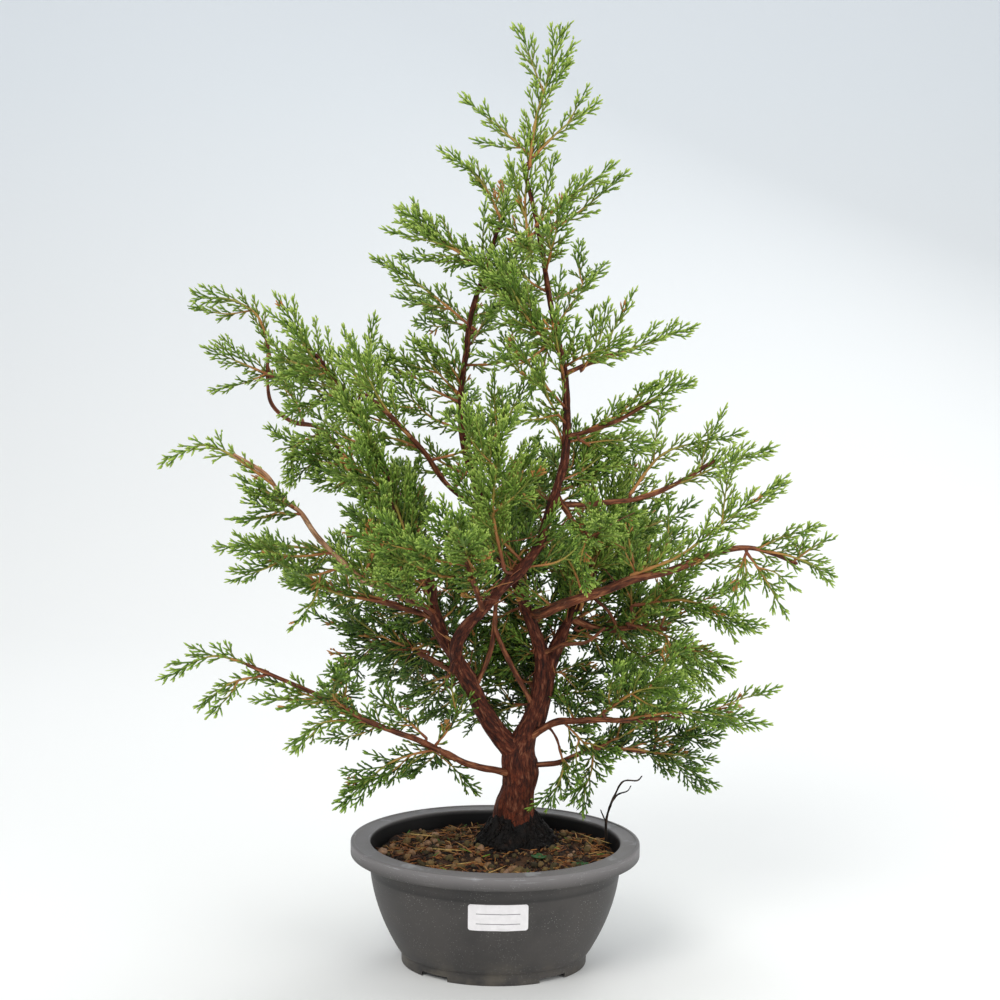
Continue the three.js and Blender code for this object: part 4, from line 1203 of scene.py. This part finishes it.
# Extra sprays inside the crown: stem, count, shares of its length, how far they look back, and their painted
# light (low values paint them dark, as shade inside the crown).
innerSprays = (
    ("trunk", 18, (0.2, 0.5), 1.4, 0.17), ("trunk", 14, (0.5, 0.95), 0.2, 0.46),
    ("limb_left", 16, (0.2, 0.62), 1.2, 0.26), ("limb_left", 11, (0.62, 0.98), 0.0, 0.5),
    ("limb_cross", 12, (0.2, 0.46), 0.8, 0.34), ("limb_cross", 14, (0.42, 0.9), 0.2, 0.5),
    ("limb_right", 18, (0.2, 1.0), 0.6, 0.3), ("branch_right_long", 7, (0.1, 0.6), 0.5, 0.4),
    ("branch_left_pale", 6, (0.15, 0.8), 0.1, 0.42), ("branch_left_back", 7, (0.1, 0.7), 0.2, 0.44),
    ("branch_left_front", 4, (0.2, 0.9), -0.2, 0.5), ("branch_right_shade", 9, (0.1, 1.0), 0.3, 0.3),
    ("branch_low_left", 5, (0.3, 0.75), 0.2, 0.26), ("branch_low_right", 4, (0.3, 0.9), 1.4, 0.24),
    ("branch_low_back", 5, (0.3, 0.95), 0.2, 0.16), ("branch_left_low", 4, (0.3, 1.0), 0.2, 0.2),
    ("branch_left_mid", 4, (0.3, 1.0), 0.2, 0.32), ("branch_back", 6, (0.15, 1.0), 0.4, 0.28),
    ("branch_back_right", 5, (0.1, 1.0), 0.4, 0.28), ("branch_front", 4, (0.35, 1.0), -0.4, 0.4),
)
# Sprays at the ends of the outer branches, thinner than the rest.
airy = {"left_pale_tip", "left_pale_low", "low_left_outer"}
# Thin bare stems that cross behind the limbs, as rows like the other stems.
bareStems = (
    [[-16, 14, 136, 4.4], [-6, 20, 160, 4.0], [-3, 24, 181, 3.6], [-1, 26, 201, 3.2], [8, 28, 216, 2.6]],
    [[27, 27, 118, 4.6], [14, 22, 143, 4.2], [3, 20, 165, 3.8], [-3, 20, 183, 3.4], [-2, 18, 203, 3.0]],
    [[36, 34, 156, 4.0], [52, 22, 166, 3.4], [70, 16, 170, 2.8], [84, 14, 182, 2.2]],
)
# Sprays that stand behind the limbs, low in the crown: breadth, and points as for the others.
behindLimbs = (
    (40, [[22, 40, 112], [4, 56, 108], [-16, 74, 96]]),
    (46, [[24, 42, 130], [2, 62, 134], [-22, 80, 130]]),
    (44, [[-22, 22, 134], [-14, 50, 120], [-2, 76, 96]]),
    (46, [[-32, 18, 142], [-52, 42, 130], [-74, 64, 112]]),
    (46, [[-24, 22, 126], [-42, 50, 108], [-60, 74, 88]]),
    (48, [[-48, 18, 172], [-70, 42, 158], [-90, 66, 140]]),
    (46, [[42, 42, 140], [60, 58, 132], [80, 74, 118]]),
    (48, [[38, 40, 122], [62, 58, 108], [88, 74, 92]]),
    (48, [[62, 52, 172], [84, 68, 160], [106, 84, 146]]),
    (38, [[52, 14, 106], [68, 4, 92], [84, -6, 76]]),
    (46, [[12, 40, 190], [2, 66, 178], [-12, 92, 160]]),
    (46, [[46, 44, 166], [58, 74, 160], [66, 100, 150]]),
    (42, [[-52, 10, 200], [-78, 34, 186], [-104, 52, 176]]),
    (40, [[30, 36, 158], [14, 62, 150], [6, 88, 140]]),
)
twiglets = {"count": 130, "long": (12, 32), "half": 0.62}


def leafMaterial():
    # the map's V runs up a leaf in its upper half, and its U is how light the leaf is, dry leaves at its
    # end; that lightness is painted light and shade (shaded inner and low leaves dark, lit outer leaves
    # bright) with each leaf's own tone
    material, tree, shader = newMaterial("juniperLeaf", Roughness=0.48, Specular_IOR_Level=0.35,
                                         Subsurface_Weight=0.0)
    parts = node(tree, "SeparateXYZ", {"Vector": node(tree, "UVMap", uv_map="OFBake").outputs["UV"]})
    body = ramp(tree, parts.outputs["X"], [
        (0.0, 22, 38, 18), (0.25, 44, 72, 26), (0.5, 86, 120, 38), (0.85, 132, 162, 58),
        (0.9, 132, 88, 44), (1.0, 172, 124, 68),
    ])
    tip = ramp(tree, parts.outputs["X"], [
        (0.0, 46, 72, 28), (0.25, 92, 126, 46), (0.5, 150, 182, 76), (0.85, 190, 209, 108),
        (0.9, 176, 116, 56), (1.0, 208, 150, 84),
    ])
    reach = spread(tree, parts.outputs["Y"], 0.56, 1.0)
    paint(tree, shader, blend(tree, reach, body, tip))
    return material


def youngStemMaterial():
    # the map's U runs from red-brown wood through tan to green shoots
    material, tree, shader = newMaterial("youngStem", Roughness=0.6)
    parts = node(tree, "SeparateXYZ", {"Vector": node(tree, "UVMap", uv_map="OFBake").outputs["UV"]})
    plain = ramp(tree, parts.outputs["X"], [
        (0.0, 74, 36, 25), (0.2, 128, 70, 40), (0.38, 176, 122, 66),
        (0.6, 146, 140, 60), (0.82, 92, 120, 40), (1.0, 84, 118, 38),
    ])
    paint(tree, shader, plain)
    return material


def pointOn(stems, t):
    # start + length (t way + t^2 bend)
    t = t[:, None]
    return stems["start"] + stems["length"][:, None] * (t * stems["way"] + t**2 * stems["bend"])


def picked(stems, index):
    # the stems at an index or a mask
    return {key: value[index] for key, value in stems.items()}


def joinStems(groups):
    # several sets of stems as one
    return {key: np.concatenate([group[key] for group in groups]) for key in groups[0]}


def insideBox(stems):
    # the stems that end within the CAD model's box, give or take a few millimetres
    ends = pointOn(stems, np.ones(len(stems["start"])))
    spare = leafLook["spare"] * mm
    return picked(stems, ((ends > boxLow - spare) & (ends < boxHigh + spare)).all(axis=1))


def shootsAlong(route, breadth, light, dry, pick):
    # side shoots of one spray: they fill the flattened spindle that the spray takes up
    path, along = smoothPath(route, 1.0 * mm)
    tangents = unit(np.gradient(path, axis=0))
    chord = unit(path[-1] - path[0])
    flatWay = np.array([0, 0, 1.0]) if abs(chord[1]) > 0.6 else np.array([0, 1.0, 0])
    count = max(int(along[-1] / (leafLook["shootEvery"] * mm)), 6)
    share = (np.arange(count) + pick.uniform(0.1, 0.9, count)) / count
    share = 0.03 + 0.97 * share
    at = share * along[-1]
    start = np.stack([np.interp(at, along, column) for column in path.T], axis=1)
    ahead = unit(np.stack([np.interp(at, along, column) for column in tangents.T], axis=1))
    across = unit(np.cross(ahead, flatWay))
    through = np.cross(across, ahead)
    roll = np.radians(pick.normal(0, leafLook["roll"], count))
    side = np.where(np.arange(count) % 2 == 0, 1.0, -1.0)[:, None]
    sideWay = side * np.cos(roll)[:, None] * across + np.sin(roll)[:, None] * through
    low, high = np.radians(leafLook["shootAngle"])
    angle = pick.uniform(low, high, count) * (1 - 0.35 * share)
    way = unit(np.cos(angle)[:, None] * ahead + np.sin(angle)[:, None] * sideWay)
    full = np.sin(np.pi * (0.14 + 0.8 * share))**0.8
    oval = 1 / np.sqrt(np.cos(roll)**2 + (np.sin(roll) / leafLook["flatness"])**2)
    reach = max(breadth / 2 - leafLook["overhang"], 6) * mm
    length = reach * full * oval / np.sin(angle) * pick.uniform(0.62, 1.12, count)
    length = np.minimum(length, (1.12 - share) * along[-1] + 9 * mm).clip(6 * mm)
    bend = 0.22 * squareTo(way, ahead)
    bend = bend + pick.normal(0, 0.05, (count, 3)) + [0, 0, 0.05]
    shoots = {
        "start": start, "way": way, "bend": bend, "length": length, "across": unit(np.cross(through, way)),
        # shade is painted light and shade: the branch's value, low for shaded inner and low branches, rising
        # towards the spray's tip
        "shade": light - 0.13 + 0.24 * share,
        "green": 0.72 + 0.24 * share + pick.uniform(-0.12, 0.04, count),
        "dry": pick.uniform(0, 1, count) < dry,
    }
    tip = {
        "start": path[-1:], "way": tangents[-1:], "bend": np.array([[0, 0, 0.04]]),
        "length": np.array([8 * mm]),
        "across": across[-1:], "shade": np.array([light + 0.12]), "green": np.array([0.95]),
        "dry": np.array([False]),
    }
    return path, along, joinStems([shoots, tip])


def fingersOn(stems, kind, firstAt, pick):
    # alternate fingers or forks along each stem, longest in its lower half
    every, lengths, angles = (leafLook[kind + key] for key in ("Every", "Long", "Angle"))
    count = np.maximum((stems["length"] * (1 - firstAt) / (every * mm)).astype(int), 2)
    parent = np.repeat(np.arange(len(count)), count)
    order = np.arange(count.sum()) - np.repeat(np.cumsum(count) - count, count)
    share = firstAt + (1 - firstAt) * (order + pick.uniform(0.2, 0.8, len(order))) / count[parent]
    on = picked(stems, parent)
    start = pointOn(on, share)
    ahead = unit(on["way"] + 2 * share[:, None] * on["bend"])
    across = unit(squareTo(ahead, on["across"]))
    through = np.cross(across, ahead)
    roll = np.radians(pick.normal(0, 30, len(order)))
    side = np.where((order + parent) % 2 == 0, 1.0, -1.0)
    sideWay = (side * np.cos(roll))[:, None] * across + np.sin(roll)[:, None] * through
    low, high = np.radians(angles)
    angle = pick.uniform(low, high, len(order)) * (1.08 - 0.4 * share)
    way = unit(np.cos(angle)[:, None] * ahead + np.sin(angle)[:, None] * sideWay + [0, 0, 0.06])
    top = lengths[0] + (lengths[1] - lengths[0]) * np.clip(on["length"] / (26 * mm), 0.15, 1.0)
    length = top * mm * (1.04 - 0.5 * share) * pick.uniform(0.72, 1.16, len(order))
    bend = 0.28 * squareTo(way, ahead)
    bend = bend + pick.normal(0, 0.03, (len(order), 3))
    return {
        "start": start, "way": way, "bend": bend, "length": length, "across": unit(np.cross(through, way)),
        "shade": on["shade"] - 0.1 + 0.3 * share + pick.normal(0, 0.05, len(order)),
        "green": np.clip(on["green"] + 0.25, 0, 1), "dry": on["dry"],
    }


def tipsOf(stems, pick, long=(3.6, 6.4)):
    # the finger that ends each stem, in line with it
    ahead = unit(stems["way"] + 2 * stems["bend"])
    tips = dict(stems)
    tips["start"] = pointOn(stems, np.full(len(ahead), 0.93))
    tips["way"] = ahead
    tips["length"] = pick.uniform(*long, len(ahead)) * mm
    tips["bend"] = pick.normal(0, 0.03, ahead.shape)
    tips["shade"] = stems["shade"] + 0.26
    return tips


def thinTubes(stems, halves, rings, around):
    # every stem as a tube of its own, tapering from the first half thickness (mm) to the second
    t = np.linspace(0, 1, rings)
    count = len(stems["start"])
    axis = stems["start"][:, None] + stems["length"][:, None, None] * (
        t[None, :, None] * stems["way"][:, None] + t[None, :, None]**2 * stems["bend"][:, None])
    side = stems["across"]
    other = np.cross(stems["way"], side)
    spin = evenTurns(around)
    ring = spokes(spin, side, other)
    half = (halves[0] * mm + (halves[1] * mm - halves[0] * mm) * t)[None, :, None, None]
    shell = (axis[:, :, None] + half * ring[:, None]).reshape(count, -1, 3)
    points = np.concatenate([shell, axis[:, :1], axis[:, -1:]], axis=1)
    _, faces = closedTube(np.zeros((rings, around, 3)), np.zeros(3), np.zeros(3))
    faces = repeated(triangles(*faces), rings * around + 2, count)
    u = np.repeat(stems["green"], rings * around + 2)
    run = np.concatenate([np.repeat(t, around), [0, 1]])
    v = 0.03 + 0.42 * np.tile(run, count)
    aside = np.concatenate([np.tile(np.sin(spin), rings), [0, 0]]) * 0.012
    return points.reshape(-1, 3), faces, np.stack([u * 0.94 + 0.03 + np.tile(aside, count), v], 1)


def leafMesh(stems, pick, seed):
    # fingers as spindles, with their shade along U (painted light and shade, with each finger's own tone)
    # and their length along the upper half of V
    count = len(stems["start"])
    half = leafLook["fingerHalf"] * mm * pick.uniform(0.85, 1.2, count)
    axis = (stems[key] for key in ("start", "way", "bend", "length"))
    points, faces, along, aside = spindles(*axis, half, 0.85, (0.12, 0.72), (0.9, 0.84), 3, seed)
    shade = np.where(stems["dry"], pick.uniform(0.91, 0.98, count), np.clip(stems["shade"], 0.03, 0.84))
    u = np.repeat(shade, len(along)) + 0.012 * np.tile(aside, count)
    v = 0.52 + 0.46 * np.tile(along, count)
    return points, faces, np.stack([u, v], axis=1)


def sideSprays(route, breadth, count, pick):
    # smaller sprays that leave a spray's middle to both sides, forwards and upwards
    path, along = smoothPath(route, 2.0 * mm)
    ways = unit(np.gradient(path, axis=0))
    made = []
    count = int(count + pick.uniform(0, 1))
    for number in range(count):
        share = (number + pick.uniform(0.1, 0.9)) / count * 0.72
        at = min(int(share * len(path)), len(path) - 2)
        ahead = ways[at]
        across = unit(np.cross(ahead, (0.1, 1.0, 0.2)))
        through = np.cross(across, ahead)
        roll = pick.uniform(-1.2, 1.2)
        side = (-1)**number * math.cos(roll) * across + math.sin(roll) * through
        angle = pick.uniform(0.5, 0.95)
        way = unit(math.cos(angle) * ahead + math.sin(angle) * side + [0, 0, 0.12])
        wished = along[-1] / mm * (0.72 - 0.4 * share) * pick.uniform(0.7, 1.1)
        long = np.clip(wished, *leafLook["sideLong"]) * mm
        end = path[at] + way * long
        if (end < boxLow).any() or (end > boxHigh).any():
            long *= 0.5
        end = path[at] + way * long + ahead * long * 0.16
        middle = path[at] + way * long * 0.5 + pick.normal(0, 1.2 * mm, 3)
        broad = breadth * leafLook["sideBroad"] * pick.uniform(0.75, 1.1)
        made.append((broad, np.array([path[at], middle, end])))
    return made


def axisTube(path, along, widest, narrowest, green):
    # the woody middle of one spray, tapering towards its tip
    _, sides, others = carriedFrames(path)
    share = along / along[-1]
    spin = evenTurns(6)
    ring = spokes(spin, sides, others)
    half = (widest + (narrowest - widest) * share) / 2 * mm
    half = half * (1 + 0.12 * np.sin(along / (2.1 * mm)))
    points, faces = closedTube(path[:, None] + ring * half[:, None, None], path[0], path[-1])
    u = np.repeat(green[0] + (green[1] - green[0]) * share, 6)
    v = 0.03 + 0.42 * np.repeat(share, 6)
    aside = 0.012 * np.tile(np.sin(spin), len(share))
    uv = np.stack([np.append(u + aside, green), np.append(v, [0.03, 0.45])], axis=1)
    return points, triangles(*faces), uv


def feeder(start, ahead, woodPoints, woodWays, pick):
    # a thin twig from the nearest wood to where a spray begins, leaving the wood forwards
    gaps = np.linalg.norm(woodPoints - start, axis=1)
    ahead = unit(ahead)
    facing = ((woodPoints - start) @ ahead / np.maximum(gaps, 1e-6)).clip(0)
    nearest = int(np.argmin(gaps * (1 + 0.9 * facing)))
    if gaps[nearest] < 1.5 * mm:
        return None
    root, way = woodPoints[nearest], woodWays[nearest]
    reach = gaps[nearest]
    t = np.linspace(0, 1, 5)[:, None]
    out = root + way * reach * 0.35
    back = start - ahead * reach * 0.35
    curve = (1 - t)**3 * root + 3 * t * (1 - t)**2 * out + 3 * t**2 * (1 - t) * back + t**3 * start
    curve[1:-1] += pick.normal(0, 0.4 * mm, (3, 3))
    return smoothPath(curve, 1.5 * mm)


def makeSprays(name, light, sprays, sides, looks, wood, seed, nodes=()):
    # all sprays of one branch in one mesh: woody middles, shoots, their fingers, and forks on long fingers
    pick = np.random.default_rng(seed)
    tubes, groups = [], []
    dry = leafLook["dry"] if light > 0.45 else leafLook["dryInside"]
    woody = 0.3 if light > 0.55 else 0.14
    for breadth, route in sprays:
        path, along, shoots = shootsAlong(route, breadth, light, dry, pick)
        thick = 1.4 + along[-1] / mm / 100
        tubes.append(axisTube(path, along, thick + 0.3, 0.9, (woody, 0.86)))
        twig = feeder(path[0], unit(path[2] - path[0]), *wood, pick)
        if twig:
            tubes.append(axisTube(*twig, thick + 0.4, thick, (0.0, 0.12)))
        groups.append(shoots)
        for narrow, side in sideSprays(route, breadth, sides, pick):
            path, along, shoots = shootsAlong(side, narrow, light - 0.02, dry, pick)
            tubes.append(axisTube(path, along, 1.4, 0.8, (woody + 0.12, 0.9)))
            groups.append(shoots)
    shoots = insideBox(joinStems(groups))
    fingers = fingersOn(shoots, "finger", 0.1, pick)
    forked = fingers["length"] > leafLook["forked"] * mm
    forks = fingersOn(picked(fingers, forked), "fork", 0.3, pick)
    leaves = insideBox(joinStems([fingers, tipsOf(shoots, pick), forks]))
    leaves = picked(leaves, leaves["length"] > 1.5 * mm)
    parts = [leafMesh(leaves, pick, seed), *tubes, thinTubes(shoots, leafLook["shootHalf"], 3, 3)]
    points = np.vstack([part[0] for part in parts])
    starts = np.cumsum([0] + [len(part[0]) for part in parts])
    faces = np.vstack([part[1] + first for part, first in zip(parts, starts)])
    uv = np.vstack([part[2] for part in parts])
    materialOf = np.ones(len(faces), int)  # young stems, and leaves before them
    materialOf[:len(parts[0][1])] = 0
    piece = buildPiece("sprays_" + name, points, [faces], looks, materialOf, uv)
    place(piece, "foliage", *nodes)
    return len(faces)


def sprayPaths(sprays, slim=1.0):
    # breadths, and points in metres in the pot
    return [(breadth * slim, soilRows([[*point, 0] for point in route])[:, :3]) for breadth, route in sprays]


def innerRoutes(stem, count, shares, lookBack, pick):
    # sprays that leave a stem inside the crown: outwards from the trunk's line, up, and back or forwards
    path, _ = smoothPath(soilRows(stemRoutes[stem])[:, :3], 2 * mm)
    made = []
    for number in range(count):
        share = shares[0] + (shares[1] - shares[0]) * (number + pick.uniform(0, 1)) / count
        root = path[min(int(share * len(path)), len(path) - 1)]
        out = np.array([root[0] - 0.012, root[1] - 0.01, 0]) * 7
        turn = pick.uniform(0, 2 * math.pi)
        way = out + [math.cos(turn), 0.7 * math.sin(turn) + lookBack, pick.uniform(0.1, 0.8)]
        way = unit(way)
        long = pick.uniform(*leafLook["innerLong"]) * mm
        bow = unit(np.cross(way, pick.normal(size=3))) * pick.normal(0, 5 * mm)
        end = root + way * long + [0, 0, 0.1 * long]
        broad = pick.uniform(*leafLook["innerBroad"])
        made.append((broad, np.array([root, root + way * long * 0.5 + bow, end])))
    return made


def makeTwiglets(looks, wood):
    # bare dry twiglets on the inner wood, tan to red-brown
    pick = np.random.default_rng(640)
    inner = np.flatnonzero((np.abs(wood[0][:, 0]) < 0.08) & (wood[0][:, 2] > soilTop + 0.13)
                           & (wood[0][:, 2] < soilTop + 0.3))
    root = pick.choice(inner, twiglets["count"])
    way = unit(wood[1][root] * 0.5 + pick.normal(0, 1, (len(root), 3)))
    stems = {
        "start": wood[0][root], "way": way, "bend": pick.normal(0, 0.14, way.shape),
        "length": pick.uniform(*twiglets["long"], len(root)) * mm,
        "across": unit(np.cross(way, (0.3, 0.5, 1.0))), "green": pick.uniform(0.02, 0.4, len(root)),
    }
    points, faces, uv = thinTubes(stems, (twiglets["half"], twiglets["half"] * 0.5), 4, 5)
    place(buildPiece("dry_twiglets", points, [faces], [looks[1]], None, uv), "foliage")


def makeTree():
    # wood first, then the foliage that hangs on it
    strips = grainGroup()
    oldBark = barkMaterial("oldBark", strips, [
        (0.1, 34, 16, 11), (0.4, 66, 31, 20), (0.65, 92, 46, 30), (0.95, 132, 84, 62),
    ], tint(136, 64, 38), (soilTop + 0.03, soilTop + 0.1), 0.8, 0.82, 0.0008)
    youngBark = barkMaterial("youngBark", strips, [
        (0.12, 54, 27, 18), (0.45, 94, 50, 32), (0.7, 128, 74, 48), (0.95, 162, 110, 76),
    ], tint(170, 120, 82), (0.1, 0.5), 0.3, 0.7, 0.0003)
    paleBark = barkMaterial("paleBark", strips, [
        (0.12, 120, 84, 60), (0.45, 166, 122, 90), (0.75, 196, 152, 118), (0.95, 216, 182, 150),
    ], tint(224, 196, 160), (0.1, 0.5), 0.3, 0.7, 0.0003, tint(96, 50, 36))
    woodPoints, woodWays = [], []
    for number, (name, rows) in enumerate(stemRoutes.items()):
        rows = soilRows(rows)
        old = name == "trunk" or name.startswith("limb")
        bark = oldBark if old else paleBark if name == "branch_left_pale" else youngBark
        slot = "old_bark" if old else "pale_bark" if name == "branch_left_pale" else "young_bark"
        look = dict(barkLook["old" if old else "young"])
        if name.startswith("limb"):
            look["around"] = 32
        flare = barkLook["flare"] if name == "trunk" else 0.0
        woodyStem(name + "_wood", slot, rows, look, bark, 100 + number, [name], flare)
        path, _ = smoothPath(rows, 2 * mm)
        woodPoints.append(path[:, :3])
        woodWays.append(unit(np.gradient(path[:, :3], axis=0)))
    for number, rows in enumerate(bareStems):
        name = f"bare_stem_{number + 1}"
        woodyStem(name, "young_bark", soilRows(rows), barkLook["young"], youngBark, 140 + number)
    wood = (np.vstack(woodPoints), np.vstack(woodWays))
    makeDeadTwig(strips)
    print("wood made")
    looks = [leafMaterial(), youngStemMaterial()]
    makeTwiglets(looks, wood)
    total = 0
    for number, (name, (light, sprays)) in enumerate(sprayRoutes.items()):
        slim = leafLook["slim"] if name in airy else 1.0
        sides = leafLook["innerSideSprays" if name in bushy else "sideSprays"]
        if name in airy:
            sides = leafLook["airySideSprays"]
        nodes = ["foliage_" + name]
        routes = sprayPaths(sprays, slim)
        total += makeSprays(name, light, routes, sides, looks, wood, 300 + number, nodes)
    # the sprays behind the limbs get a low painted light: painted shade behind the limbs
    behind = sprayPaths(behindLimbs)
    total += makeSprays("behind_limbs", leafLook["behindLight"], behind, 3, looks, wood, 690)
    for number, (stem, count, shares, lookBack, light) in enumerate(innerSprays):
        routes = innerRoutes(stem, count, shares, lookBack, np.random.default_rng(700 + number))
        total += makeSprays(f"inner_{number + 1}", light, routes, 1, looks, wood, 800 + number)
    print("foliage made,", total, "triangles")


makeLabel()
makeTree()
